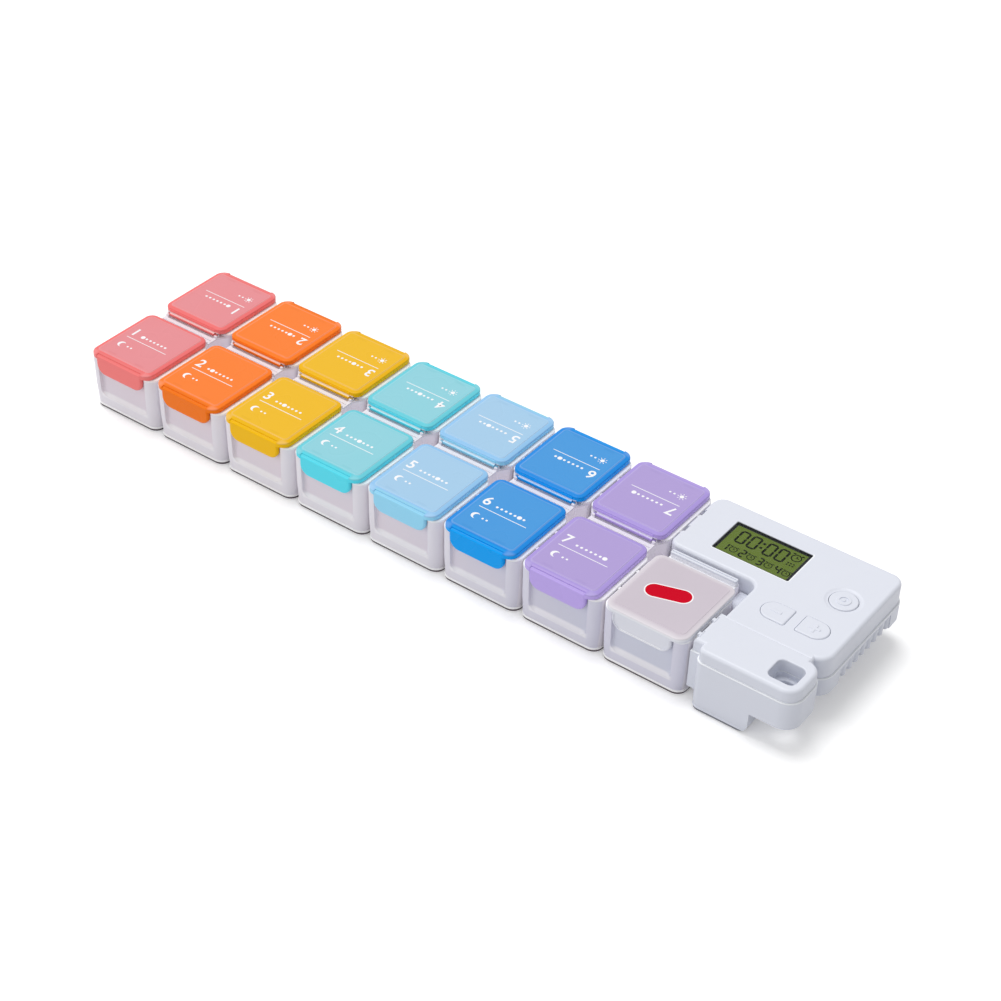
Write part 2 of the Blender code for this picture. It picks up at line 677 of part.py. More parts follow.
def add_tray_joints(body, back_row):
    """Slots on the tray's left wall and tongues on its right one."""
    left_ys = [side * y for y in TONGUE_YS for side in ((-1, 1) if back_row else (-1,))]
    right_ys = left_ys if back_row else [-y for y in RAIL_TONGUE_YS]
    for y in left_ys:
        cut(body, slot(0, y, -OVERRUN, RIM_Z + OVERRUN))
    for y in right_ys:
        fuse(body, tongue(TRAY_WIDTH, y, TONGUE_BOTTOM_Z, RIM_Z - TONGUE_TOP_DROP))


def lid_body():
    """Front-row lid with its hinge axis on the origin and its tab towards -Y."""
    front_y, back_y = HINGE_Y - HALF_DEPTH, HINGE_Y - LID_BACK_Y
    top_z = OVERALL_HEIGHT - HINGE_Z
    plate_z = top_z - LID_PLATE
    ring_z = plate_z - LID_RING_HEIGHT
    half = LID_WIDTH / 2
    body = prism("lid", rounded_rectangle(-half, half, front_y, back_y, LID_CORNER), plate_z, top_z)
    fuse(body, lid_ring(front_y, back_y, ring_z, plate_z), lid_tab(front_y, plate_z))
    flange_y = back_y - LID_RING_INSET - LID_RING_WIDTH / 2
    fuse(body, box("flange", -BARREL_HALF_LENGTH, BARREL_HALF_LENGTH, flange_y, 0, ring_z, plate_z))
    fuse(body, lying_cylinder("barrel", 0, 0, BARREL_RADIUS, -BARREL_HALF_LENGTH, BARREL_HALF_LENGTH))
    pin_reach = BARREL_HALF_LENGTH + PIN_LENGTH
    fuse(body, lying_cylinder("pins", 0, 0, PIN_RADIUS, -pin_reach, pin_reach, HINGE_PIN_SIDES))
    add_latch_ribs(body, plate_z)
    step_half = TAB_HALF_WIDTH - TAB_STEP_SIDE
    return cut(body, box("tab step", -step_half, step_half, front_y - OVERRUN, front_y + TAB_STEP_DEPTH,
                         top_z - TAB_STEP_DROP, top_z + OVERRUN))


def lid_ring(front_y, back_y, ring_z, plate_z):
    """Skirt under the plate's edge, which sits on the tray's rim."""
    half = LID_WIDTH / 2 - LID_RING_INSET
    low, high = front_y + LID_RING_INSET, back_y - LID_RING_INSET
    outer = rounded_rectangle(-half, half, low, high, LID_CORNER - LID_RING_INSET)
    ring = prism("ring", outer, ring_z, plate_z + LID_PLATE / 2)
    inner_half = half - LID_RING_WIDTH
    inner = rounded_rectangle(
        -inner_half, inner_half, low + LID_RING_WIDTH, high - LID_RING_WIDTH,
        LID_CORNER - LID_RING_INSET - LID_RING_WIDTH, SMALL_CORNER_STEPS,
    )
    return cut(ring, prism("ring hollow", inner, ring_z - OVERRUN, plate_z))


def lid_tab(front_y, plate_z):
    """Tab over the tray's outer face, rounded at its lower corners."""
    bottom_z = TAB_BOTTOM_Z - HINGE_Z
    corners = [
        (-TAB_HALF_WIDTH, bottom_z, TAB_CORNER), (TAB_HALF_WIDTH, bottom_z, TAB_CORNER),
        (TAB_HALF_WIDTH, plate_z + EMBED, 0), (-TAB_HALF_WIDTH, plate_z + EMBED, 0),
    ]
    tab_y = front_y + TAB_SETBACK
    return side_prism("tab", fillet_outline(corners), tab_y, tab_y + TAB_THICKNESS)


def add_latch_ribs(body, plate_z):
    """Two short ribs that reach inside the compartment's outer wall."""
    rib_y = HINGE_Y - POCKET_OUTER_Y + SLIDE_GAP
    low_z = RIM_Z - HINGE_Z - LATCH_RIB_DEPTH
    for side in (-1, 1):
        x = side * LATCH_RIB_X
        fuse(body, box(
            "latch rib", x - LATCH_RIB_LENGTH / 2, x + LATCH_RIB_LENGTH / 2,
            rib_y, rib_y + LATCH_RIB_THICKNESS, low_z, plate_z + EMBED,
        ))


def timer_outline(inset=0.0):
    """Plan of the timer case, drawn in by a wall thickness."""
    right, back, front = TIMER_LENGTH - inset, HALF_DEPTH - inset, -HALF_DEPTH + inset
    rail_left, block_left = DAY_PITCH + inset, BLOCK_LEFT_X + inset
    neck_x, front_y = TIMER_NECK_X + inset, TIMER_FRONT_Y + inset
    return fillet_outline([
        (block_left, front, BLOCK_LEFT_CORNER - inset), (right, front, BLOCK_CORNER - inset),
        (right, -BLOCK_BACK_Y - inset, BLOCK_CORNER - inset), (NOTCH_X - inset, -BLOCK_BACK_Y - inset, 0),
        (NOTCH_X - inset, -BLOCK_BACK_Y + NOTCH_WIDTH + inset, 0),
        (right, -BLOCK_BACK_Y + NOTCH_WIDTH + inset, BLOCK_CORNER - inset),
        (right, back, TIMER_BACK_CORNER - inset), (inset, back, TIMER_BACK_CORNER - inset),
        (inset, front_y, TIMER_LEFT_CORNER - inset), (neck_x, front_y, TIMER_INNER_CORNER + inset),
        (neck_x, -RAIL_BACK_Y - inset, 0), (rail_left, -RAIL_BACK_Y - inset, 0),
        (rail_left, -RAIL_FRONT_Y + inset, 0), (block_left, -RAIL_FRONT_Y + inset, 0),
    ], small_steps=CORNER_STEPS)


def underside_cutter(y_low, y_high, ceiling_z):
    """Room under the case's raised right-hand end, with a rounded foot beside it."""
    far_x = TIMER_LENGTH + OVERRUN
    left_x = FOOT_RIGHT_X - FOOT_CORNER
    arc = [
        (left_x + FOOT_CORNER * math.sin(angle), FOOT_CORNER * (1 - math.cos(angle)))
        for angle in (math.pi / 2 * step / CORNER_STEPS for step in range(CORNER_STEPS + 1))
    ]
    outline = [(left_x, -OVERRUN), (far_x, -OVERRUN), (far_x, ceiling_z), (FOOT_RIGHT_X, ceiling_z)]
    return side_prism("underside", outline + arc[::-1], y_low, y_high)


def key_hole_cutter():
    (x, y), (width, depth) = KEY_HOLE_CENTRE, KEY_HOLE
    outline = rounded_rectangle(x - width / 2, x + width / 2, y - depth / 2, y + depth / 2, KEY_HOLE_CORNER)
    return prism("key hole", outline, -OVERRUN, TIMER_HEIGHT + OVERRUN)


def timer_slots(z_low, z_high):
    """Slots for the last day tray's tongues and for the spare tray's."""
    yield from (slot(0, y, z_low, z_high) for y in TONGUE_YS)
    yield from (slot(DAY_PITCH, -y, z_low, z_high) for y in RAIL_TONGUE_YS)


def inside_outline():
    """Hollow of the case above its deck: the body and the column behind the front block."""
    left, back = TIMER_SLOT_WALL, HALF_DEPTH - TIMER_WALL
    right, front = TIMER_LENGTH - TIMER_WALL, BODY_FRONT_Y + TIMER_WALL
    neck_x, front_y = TIMER_NECK_X + TIMER_WALL, TIMER_FRONT_Y + TIMER_WALL
    return fillet_outline([
        (neck_x, front, 0), (right, front, BLOCK_CORNER - TIMER_WALL), (right, back, 0), (left, back, 0),
        (left, front_y, 0), (neck_x, front_y, TIMER_INNER_CORNER + TIMER_WALL),
    ])


def block_well_outline():
    """Hollow of the front block, to the left of the key ring hole."""
    left, front = BLOCK_LEFT_X + TIMER_WALL, -HALF_DEPTH + TIMER_WALL
    right = KEY_HOLE_CENTRE[0] - KEY_HOLE[0] / 2 - TIMER_WALL
    return rounded_rectangle(left, min(right, FOOT_RIGHT_X - TIMER_WALL), front,
                             -BLOCK_BACK_Y - TIMER_WALL, BLOCK_LEFT_CORNER - TIMER_WALL)


def bottom_case(colour):
    """Lower shell with the battery bay, the raised right-hand end and the screw posts."""
    body = prism("bottom", timer_outline(), 0, BLOCK_SEAM_Z)
    cut(body, box("upper", -OVERRUN, TIMER_LENGTH + OVERRUN, -BLOCK_BACK_Y, HALF_DEPTH + OVERRUN,
                  TIMER_SEAM_Z, BLOCK_SEAM_Z + OVERRUN))
    split_y = -BLOCK_BACK_Y + NOTCH_WIDTH / 2
    cut(body, underside_cutter(-HALF_DEPTH - OVERRUN, split_y, BLOCK_UNDERSIDE_Z))
    cut(body, underside_cutter(split_y, HALF_DEPTH + OVERRUN, BODY_UNDERSIDE_Z))
    cut(body, box("grip", FOOT_RIGHT_X, TIMER_LENGTH + OVERRUN, BODY_FRONT_Y + GRIP_FRONT_INSET,
                  HALF_DEPTH - GRIP_BACK_INSET, BODY_UNDERSIDE_Z - OVERRUN, BODY_UNDERSIDE_Z + GRIP_RISE))
    cut(body, prism("inside", inside_outline(), DECK_Z, TIMER_SEAM_Z + OVERRUN))
    cut(body, prism("well", block_well_outline(), WELL_FLOOR, BLOCK_SEAM_Z + OVERRUN))
    cut(body, column_well(), key_hole_cutter(), *timer_slots(-OVERRUN, BLOCK_SEAM_Z + OVERRUN))
    add_bay(body)
    add_board_posts(body)
    for place in SCREW_PLACES:
        add_screw_post(body, place)
    return finish(body, "timer_bottom_case", colour, (TIMER_X, 0, 0))


def column_well():
    """Lighter stretch of the deck in front of the battery bay."""
    left, right = TIMER_NECK_X + TIMER_WALL, FOOT_RIGHT_X - FOOT_CORNER
    front = BODY_FRONT_Y + TIMER_WALL
    return box("column well", left, right, front, TIMER_FRONT_Y, WELL_FLOOR, DECK_Z + EMBED)


def add_bay(body):
    """Battery bay, open below, with the cover's grooves along its ends."""
    bay = box("bay", BAY_LEFT_X, BAY_RIGHT_X, BAY_FRONT_Y, BAY_BACK_Y, -OVERRUN, BAY_ROOF_Z)
    cover_top = COVER_THICKNESS + SLIDE_GAP
    back = HALF_DEPTH + OVERRUN
    door = box("door", BAY_LEFT_X, BAY_RIGHT_X, BAY_FRONT_Y, back, -OVERRUN, cover_top)
    groove_z = COVER_THICKNESS - COVER_TONGUE_THICKNESS - SLIDE_GAP
    reach = COVER_TONGUE
    groove = box("groove", BAY_LEFT_X - reach, BAY_RIGHT_X + reach, BAY_FRONT_Y, back, groove_z, cover_top)
    cut(body, bay, door, groove)


def board_post_places():
    near_right = BOARD_RIGHT_X - 2 * BOARD_POST_RADIUS
    yield (near_right, BOARD_BACK_Y - 2 * BOARD_POST_RADIUS)
    yield (near_right, BOARD_FRONT_Y + 2 * BOARD_POST_RADIUS)
    yield (BOARD_LEFT_X + 2 * BOARD_POST_RADIUS, BOARD_BACK_Y - 2 * BOARD_POST_RADIUS)
    yield (BOARD_LEFT_X + 2 * BOARD_POST_RADIUS, BOARD_STEP_Y + 2 * BOARD_POST_RADIUS)


def add_board_posts(body):
    for place in board_post_places():
        fuse(body, cylinder("post", place, BOARD_POST_RADIUS, DECK_Z - EMBED, DECK_Z + BOARD_POST_HEIGHT,
                            PIN_SIDES))


def screw_base_z(place):
    """Height of the case's underside at a screw."""
    if place[0] < FOOT_RIGHT_X:
        return 0.0
    return BODY_UNDERSIDE_Z


def screw_seam_z(place):
    """Height of the seam between the case's halves at a screw."""
    if place[1] < -BLOCK_BACK_Y:
        return BLOCK_SEAM_Z
    return TIMER_SEAM_Z


def add_screw_post(body, place):
    """Hollow post that takes a screw's head from below."""
    base_z, seam_z = screw_base_z(place), screw_seam_z(place)
    seat_z = seam_z - SCREW_SEAT
    fuse(body, cylinder("post", place, BOSS_RADIUS, base_z, seam_z, PIN_SIDES))
    cut(body, cylinder("head hole", place, SCREW_HEAD_RADIUS + SCREW_HOLE_GAP, base_z - OVERRUN, seat_z,
                       PIN_SIDES))
    cut(body, cylinder("hole", place, SCREW_RADIUS + SCREW_HOLE_GAP, seat_z - EMBED, seam_z + OVERRUN,
                       PIN_SIDES))


def button_outline(centre, rounded_side, grow=0.0):
    """D-shaped outline, rounded on one side."""
    (x, y), (width, depth) = centre, BUTTON_SIZE
    half_w, half_d = width / 2 + grow, depth / 2 + grow
    large, small = half_d * BUTTON_ROUND_SHARE, BUTTON_CORNER + max(grow, 0)
    left, right = (large, small) if rounded_side < 0 else (small, large)
    return fillet_outline([
        (x - half_w, y - half_d, left), (x + half_w, y - half_d, right),
        (x + half_w, y + half_d, right), (x - half_w, y + half_d, left),
    ])


def display_outline(grow):
    (x, y), (width, depth) = DISPLAY_CENTRE, DISPLAY_SIZE
    return rounded_rectangle(
        x - width / 2 - grow, x + width / 2 + grow, y - depth / 2 - grow, y + depth / 2 + grow,
        max(DISPLAY_CORNER + grow, DISPLAY_CORNER / 2), 2,
    )


def top_case(colour):
    """Upper shell with the display, button and key ring openings."""
    body = rounded_prism("top", timer_outline, TOP_CASE_Z, TIMER_HEIGHT, TIMER_TOP_ROUND, 2)
    cut(body, box("block side", -OVERRUN, TIMER_LENGTH + OVERRUN, -HALF_DEPTH - OVERRUN,
                  -BLOCK_BACK_Y + REST_GAP, TOP_CASE_Z - OVERRUN, BLOCK_SEAM_Z + REST_GAP))
    cut(body, prism("inside", inside_outline(), TOP_CASE_Z - OVERRUN, TIMER_CEILING_Z))
    cut(body, prism("well", block_well_outline(), TOP_CASE_Z - OVERRUN, TIMER_CEILING_Z))
    cut(body, key_hole_cutter(), *timer_slots(TOP_CASE_Z - OVERRUN, TIMER_HEIGHT + OVERRUN))
    add_groove(body)
    add_top_openings(body)
    for place in SCREW_PLACES:
        add_top_boss(body, place)
    return finish(body, "timer_top_case", colour, (TIMER_X, 0, 0))


def add_groove(body):
    """Shallow line between the timer and the front block."""
    y = -BLOCK_BACK_Y
    cut(body, box("groove", BLOCK_LEFT_X, NOTCH_X + EMBED, y, y + NOTCH_WIDTH,
                  TIMER_HEIGHT - GROOVE_DEPTH, TIMER_HEIGHT + OVERRUN))


def add_top_openings(body):
    low, high = TIMER_CEILING_Z - OVERRUN, TIMER_HEIGHT + OVERRUN
    cut(body, prism("window", display_outline(0), low, high))
    cut(body, prism("left", button_outline(LEFT_BUTTON_CENTRE, -1), low, high))
    cut(body, prism("right", button_outline(RIGHT_BUTTON_CENTRE, 1), low, high))
    cut(body, cylinder("dish", ROUND_BUTTON_CENTRE, DISH_RADIUS, TIMER_HEIGHT - DISH_DEPTH, high))
    cut(body, cylinder("round", ROUND_BUTTON_CENTRE, ROUND_BUTTON_RADIUS, low, high))


def add_top_boss(body, place):
    """Boss under the top that a screw bites into."""
    base_z = screw_seam_z(place) + REST_GAP
    depth = SCREW_REACH + SCREW_HOLE_GAP
    fuse(body, cylinder("boss", place, TOP_BOSS_RADIUS, base_z, TIMER_CEILING_Z + EMBED, PIN_SIDES))
    cut(body, cylinder("thread", place, SCREW_RADIUS + PIN_GAP, base_z - OVERRUN, base_z + depth, PIN_SIDES))


def display_parts(frame_colour, window_colour, panel_colour, connector_colour):
    """Black frame, clear window, display panel and the two strips that feed it."""
    base_z = BOARD_TOP_Z + REST_GAP
    window_top = TIMER_HEIGHT - WINDOW_DROP
    window_z = window_top - WINDOW_THICKNESS
    panel_top = window_z - REST_GAP
    panel_z = panel_top - PANEL_THICKNESS
    opening = -FRAME_GAP - FRAME_WALL
    frame = prism("frame", display_outline(FRAME_FLANGE), base_z, FLANGE_TOP_Z)
    fuse(frame, prism("collar", display_outline(-FRAME_GAP), base_z, TIMER_HEIGHT - FRAME_TOP_DROP))
    cut(frame, prism("opening", display_outline(opening), window_z - REST_GAP / 2, TIMER_HEIGHT + OVERRUN))
    cut(frame, prism("panel room", display_outline(0), base_z - OVERRUN, window_z - REST_GAP / 2))
    finish(frame, "display_frame", frame_colour, (TIMER_X, 0, 0))
    window = prism("window", display_outline(opening - FRAME_GAP), window_z, window_top)
    finish(window, "display_window", window_colour, (TIMER_X, 0, 0))
    panel = prism("panel", display_outline(-FRAME_GAP), panel_z, panel_top)
    finish(panel, "display_panel", panel_colour, (TIMER_X, 0, 0))
    for name, side in (("display_connector_front", -1), ("display_connector_back", 1)):
        y = DISPLAY_CENTRE[1] + side * (DISPLAY_SIZE[1] / 2 - FRAME_GAP - CONNECTOR_WIDTH)
        half = DISPLAY_SIZE[0] / 2 - CONNECTOR_WIDTH
        strip = box(name, DISPLAY_CENTRE[0] - half, DISPLAY_CENTRE[0] + half, y - CONNECTOR_WIDTH / 2,
                    y + CONNECTOR_WIDTH / 2, base_z, panel_z - REST_GAP)
        finish(strip, name, connector_colour, (TIMER_X, 0, 0))


def button(name, colour, cap, flange):
    """Button cap with the flange that keeps it under the case and rests on its switch."""
    top_z = TIMER_HEIGHT + BUTTON_RISE
    body = prism("cap", cap, FLANGE_TOP_Z - EMBED, top_z)
    round_level_edges(body, top_z, BUTTON_EDGE, 1)
    fuse(body, prism("flange", flange, FLANGE_TOP_Z - BUTTON_FLANGE_THICKNESS, FLANGE_TOP_Z))
    return finish(body, name, colour, (TIMER_X, 0, 0))


def buttons(colour):
    shaped = (("left_button", LEFT_BUTTON_CENTRE, -1), ("right_button", RIGHT_BUTTON_CENTRE, 1))
    for name, centre, side in shaped:
        cap = button_outline(centre, side, -BUTTON_GAP)
        button(name, colour, cap, button_outline(centre, side, BUTTON_FLANGE))
    cap = circle_outline(ROUND_BUTTON_CENTRE, ROUND_BUTTON_RADIUS - BUTTON_GAP)
    flange = circle_outline(ROUND_BUTTON_CENTRE, ROUND_BUTTON_RADIUS + BUTTON_FLANGE)
    button("round_button", colour, cap, flange)


def circuit_board(board_colour, part_colour, brass_colour):
    """Board with its three switches and the buzzer."""
    outline = fillet_outline([
        (BOARD_STEP_X, BOARD_FRONT_Y, BOARD_CORNER), (BOARD_RIGHT_X, BOARD_FRONT_Y, BOARD_CORNER),
        (BOARD_RIGHT_X, BOARD_BACK_Y, BOARD_CORNER), (BOARD_LEFT_X, BOARD_BACK_Y, BOARD_CORNER),
        (BOARD_LEFT_X, BOARD_STEP_Y, BOARD_CORNER), (BOARD_STEP_X, BOARD_STEP_Y, 0),
    ], 2)
    board = prism("board", outline, BOARD_Z, BOARD_TOP_Z)
    cut(board, cylinder("boss hole", NECK_SCREW, TOP_BOSS_RADIUS + SLIDE_GAP, BOARD_Z - OVERRUN,
                        BOARD_TOP_Z + OVERRUN, PIN_SIDES))
    finish(board, "circuit_board", board_colour, (TIMER_X, 0, 0))
    places = (("left", LEFT_BUTTON_CENTRE), ("right", RIGHT_BUTTON_CENTRE), ("round", ROUND_BUTTON_CENTRE))
    for name, (x, y) in places:
        half = SWITCH_SIZE / 2
        body = box("switch", x - half, x + half, y - half, y + half, SWITCH_Z, SWITCH_Z + SWITCH_BODY_HEIGHT)
        fuse(body, cylinder("plunger", (x, y), PLUNGER_RADIUS, SWITCH_Z + EMBED, SWITCH_TOP_Z, PIN_SIDES))
        finish(body, f"{name}_button_switch", part_colour, (TIMER_X, 0, 0))
    body = cylinder("buzzer", BUZZER_CENTRE, BUZZER_RADIUS, SWITCH_Z, SWITCH_Z + BUZZER_HEIGHT)
    cut(body, cylinder("port", BUZZER_CENTRE, BUZZER_PORT_RADIUS, SWITCH_Z + BUZZER_HEIGHT / 2,
                       SWITCH_Z + BUZZER_HEIGHT + OVERRUN, PIN_SIDES))
    finish(body, "buzzer", brass_colour, (TIMER_X, 0, 0))


def cell_profile():
    """Half section of a battery cell, from its positive end down its side."""
    shoulder = CELL_RADIUS - CELL_NUB_LENGTH / 2
    return [
        (0, CELL_LENGTH), (CELL_NUB_RADIUS, CELL_LENGTH), (CELL_NUB_RADIUS, CELL_LENGTH - CELL_NUB_LENGTH),
        (shoulder, CELL_LENGTH - CELL_NUB_LENGTH), (CELL_RADIUS, CELL_LENGTH - 2 * CELL_NUB_LENGTH),
        (CELL_RADIUS, CELL_NUB_LENGTH / 2), (shoulder, 0), (0, 0),
    ]


def turned(name, profile, sides):
    """Solid turned about Z from (radius, height) points, top to bottom on the outer side."""
    mesh = bpy.data.meshes.new(name)
    edges = [(index, index + 1) for index in range(len(profile) - 1)]
    mesh.from_pydata([(radius, 0, z) for radius, z in profile], edges, [])
    item = raw_object(name, mesh)
    screw = item.modifiers.new("Turn", "SCREW")
    screw.steps = sides
    screw.render_steps = sides
    screw.use_merge_vertices = True
    screw.merge_threshold = 0.001 * MM
    item.data = evaluated_mesh(item)
    item.modifiers.clear()
    merge_flat_faces(item.data)
    return item


def batteries(colour):
    """Two cells side by side, the second turned end for end."""
    for name, side in (("battery_front", -1), ("battery_back", 1)):
        body = turned(name, cell_profile(), ROUND_SIDES)
        body.data.transform(Matrix.Rotation(math.radians(90), 4, "Y"))
        if side > 0:
            body.data.transform(Matrix.Translation((CELL_LENGTH, 0, 0)) @ Matrix.Rotation(math.pi, 4, "Z"))
        y = CELL_ROW_Y + side * CELL_PITCH / 2
        finish(body, name, colour, (TIMER_X + CELL_START_X, y, CELL_Z))


def contacts(colour):
    """Joined contact plate at the left and a plate and spring for each cell at the right."""
    half_height = CELL_RADIUS - BAY_MARGIN
    low_z, high_z = CELL_Z - half_height, CELL_Z + half_height
    half_reach = CELL_PITCH / 2 + CONTACT_WIDTH / 2
    plate_x = CELL_START_X - REST_GAP - CONTACT_THICKNESS
    body = box("contact", plate_x, plate_x + CONTACT_THICKNESS, CELL_ROW_Y - half_reach,
               CELL_ROW_Y + half_reach, low_z, high_z)
    finish(body, "battery_contact_joined", colour, (TIMER_X, 0, 0))
    plate_x = BAY_RIGHT_X - REST_GAP - CONTACT_THICKNESS
    for name, side in (("front", -1), ("back", 1)):
        y = CELL_ROW_Y + side * CELL_PITCH / 2
        body = box("contact", plate_x, plate_x + CONTACT_THICKNESS, y - CONTACT_WIDTH / 2,
                   y + CONTACT_WIDTH / 2, low_z, high_z)
        finish(body, f"battery_contact_{name}", colour, (TIMER_X, 0, 0))
        spring = contact_spring(CELL_START_X + CELL_LENGTH + REST_GAP, plate_x - REST_GAP, y)
        finish(spring, f"battery_spring_{name}", colour, (TIMER_X, 0, 0))


def contact_spring(x_low, x_high, y):
    """Conical coil between a contact plate and a cell's end."""
    curve = bpy.data.curves.new("spring", "CURVE")
    curve.dimensions = "3D"
    curve.bevel_depth = SPRING_WIRE / 2
    curve.bevel_resolution = 0
    curve.use_fill_caps = True
    steps = SPRING_TURNS * SPRING_SIDES
    spline = curve.splines.new("POLY")
    spline.points.add(steps)
    for step, point in enumerate(spline.points):
        share = step / steps
        angle = 2 * math.pi * SPRING_TURNS * share
        radius = SPRING_TIP_RADIUS + (SPRING_RADIUS - SPRING_TIP_RADIUS) * share
        x = x_low + SPRING_WIRE / 2 + (x_high - x_low - SPRING_WIRE) * share
        point.co = (x, y + radius * math.cos(angle), CELL_Z + radius * math.sin(angle), 1)
    drawn = bpy.data.objects.new("spring", curve)
    WORKSHOP.objects.link(drawn)
    mesh = evaluated_mesh(drawn)
    bpy.data.objects.remove(drawn)
    bpy.data.curves.remove(curve)
    return raw_object("spring", mesh)


def battery_cover(colour):
    """Sliding cover under the cells, with tongues along both ends and a thumb dish."""
    left, right = BAY_LEFT_X + SLIDE_GAP, BAY_RIGHT_X - SLIDE_GAP
    front, back = BAY_FRONT_Y + SLIDE_GAP, HALF_DEPTH - COVER_BACK_DROP
    body = box("cover", left, right, front, back, 0, COVER_THICKNESS)
    fuse(body, box("tongues", left - COVER_TONGUE + SLIDE_GAP / 2, right + COVER_TONGUE - SLIDE_GAP / 2,
                   front, back, COVER_THICKNESS - COVER_TONGUE_THICKNESS, COVER_THICKNESS))
    grip = ((left + right) / 2, back - 2 * COVER_GRIP_RADIUS)
    cut(body, cylinder("grip", grip, COVER_GRIP_RADIUS, -OVERRUN, COVER_GRIP_DEPTH))
    return finish(body, "battery_cover", colour, (TIMER_X, 0, 0))


def case_screws(colour):
    for index, (x, y) in enumerate(SCREW_PLACES):
        seam_z = screw_seam_z((x, y))
        head_top = seam_z - SCREW_SEAT - REST_GAP
        tip_z = seam_z + REST_GAP + SCREW_REACH
        profile = [
            (0, tip_z), (SCREW_RADIUS, tip_z), (SCREW_RADIUS, head_top), (SCREW_HEAD_RADIUS, head_top),
            (SCREW_HEAD_RADIUS, head_top - SCREW_HEAD_HEIGHT), (0, head_top - SCREW_HEAD_HEIGHT),
        ]
        body = turned("screw", profile, PIN_SIDES)
        finish(body, f"case_screw_{index + 1}", colour, (TIMER_X + x, y, 0))


def day_trays_and_lids(frosted):
    """Seven trays, each with a front and a back lid of the day's colour."""
    tray = finish(tray_body(True), "day_tray_1", frosted, (LEFT_X, 0, 0))
    lid = None
    for day, (colour_name, colour) in enumerate(LID_COLOURS[:DAYS]):
        x = LEFT_X + day * DAY_PITCH
        tint = material(f"lid_{colour_name}", colour, 0.25, 0.0, 0.8)
        if day > 0:
            copy_part(tray, f"day_tray_{day + 1}", frosted, (x, 0, 0))
        middle = x + TRAY_WIDTH / 2
        if lid is None:
            lid = finish(lid_body(), "front_lid_1", tint, (middle, -HINGE_Y, HINGE_Z))
        else:
            copy_part(lid, f"front_lid_{day + 1}", tint, (middle, -HINGE_Y, HINGE_Z))
        copy_part(lid, f"back_lid_{day + 1}", tint, (middle, HINGE_Y, HINGE_Z), math.pi)
    return lid


def main():
    clear_scene()
    frosted = material("frosted_tray", (0.80, 0.80, 0.84), 0.45, 0.0, 0.85)
    white = material("white_case", (0.86, 0.87, 0.91), 0.35)
    steel = material("plated_steel", (0.72, 0.72, 0.72), 0.3, 1.0)
    black = material("black_plastic", (0.02, 0.02, 0.02), 0.45)
    lid = day_trays_and_lids(frosted)
    finish(tray_body(False), "spare_tray", frosted, (TIMER_X, 0, 0))
    milky = material("lid_milky", (0.80, 0.74, 0.77), 0.3, 0.0, 0.85)
    copy_part(lid, "spare_lid", milky, (TIMER_X + TRAY_WIDTH / 2, -HINGE_Y, HINGE_Z))
    bottom_case(white)
    top_case(white)
    window = material("clear_window", (0.9, 0.95, 0.9), 0.05, 0.0, 0.3)
    panel = material("display_glass", (0.16, 0.22, 0.06), 0.2)
    display_parts(black, window, panel, material("grey_rubber", (0.3, 0.3, 0.3), 0.7))
    buttons(white)
    circuit_board(material("board_green", (0.02, 0.18, 0.08), 0.4), black,
                  material("brass", (0.72, 0.52, 0.2), 0.3, 1.0))
    batteries(material("battery_sleeve", (0.08, 0.08, 0.1), 0.3))
    contacts(steel)
    battery_cover(white)
    case_screws(steel)
    bpy.data.collections.remove(WORKSHOP)


WORKSHOP = new_collection("cutters")
PARTS = new_collection("pill_box_with_timer")
main()
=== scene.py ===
"""Dresses the pill box: trays, hinged lids, printed marks and the alarm timer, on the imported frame."""
import math

import bmesh
import bpy
from bpy.props import FloatProperty, FloatVectorProperty, IntProperty, PointerProperty
from mathutils import Matrix, Vector


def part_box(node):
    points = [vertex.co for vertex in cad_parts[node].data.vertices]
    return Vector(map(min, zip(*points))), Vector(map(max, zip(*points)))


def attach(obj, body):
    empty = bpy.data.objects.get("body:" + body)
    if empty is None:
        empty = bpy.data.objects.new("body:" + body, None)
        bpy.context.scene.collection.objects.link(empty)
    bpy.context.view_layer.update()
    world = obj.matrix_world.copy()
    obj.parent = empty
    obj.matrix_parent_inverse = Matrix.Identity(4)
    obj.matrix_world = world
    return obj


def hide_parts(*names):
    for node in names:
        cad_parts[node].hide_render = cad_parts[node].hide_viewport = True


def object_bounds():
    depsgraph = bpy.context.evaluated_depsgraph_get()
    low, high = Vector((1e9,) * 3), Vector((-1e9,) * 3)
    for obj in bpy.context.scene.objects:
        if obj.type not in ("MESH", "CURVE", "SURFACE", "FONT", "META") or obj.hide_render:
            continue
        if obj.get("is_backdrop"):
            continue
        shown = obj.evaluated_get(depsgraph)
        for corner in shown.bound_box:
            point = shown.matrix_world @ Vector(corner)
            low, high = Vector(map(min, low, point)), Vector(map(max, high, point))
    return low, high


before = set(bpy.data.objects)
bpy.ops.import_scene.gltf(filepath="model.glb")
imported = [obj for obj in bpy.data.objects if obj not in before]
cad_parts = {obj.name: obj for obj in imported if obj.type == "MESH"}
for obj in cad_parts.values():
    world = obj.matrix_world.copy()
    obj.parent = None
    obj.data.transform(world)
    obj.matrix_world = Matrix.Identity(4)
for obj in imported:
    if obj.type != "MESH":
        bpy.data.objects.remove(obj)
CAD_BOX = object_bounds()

bl_info = {
    "name": "Pill Box Looks",
    "version": (1, 0, 0),
    "blender": (4, 5, 0),
    "location": "3D View > Sidebar > Pill Box",
    "description": "Shapes and finishes of a weekly pill box with an alarm timer",
    "category": "Object",
}

MM = 0.001
DAYS = 7
ROWS = ("front", "back")
PAST = 1 * MM  # How far a cutter reaches past the body that it cuts
FILM = 0.03 * MM  # Thickness of the print on the lids
WELD = 0.002 * MM  # Points closer than this are one
FIRST_TRAY_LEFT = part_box("day_tray_1")[0][0]
TIMER_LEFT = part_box("timer_top_case")[0][0]

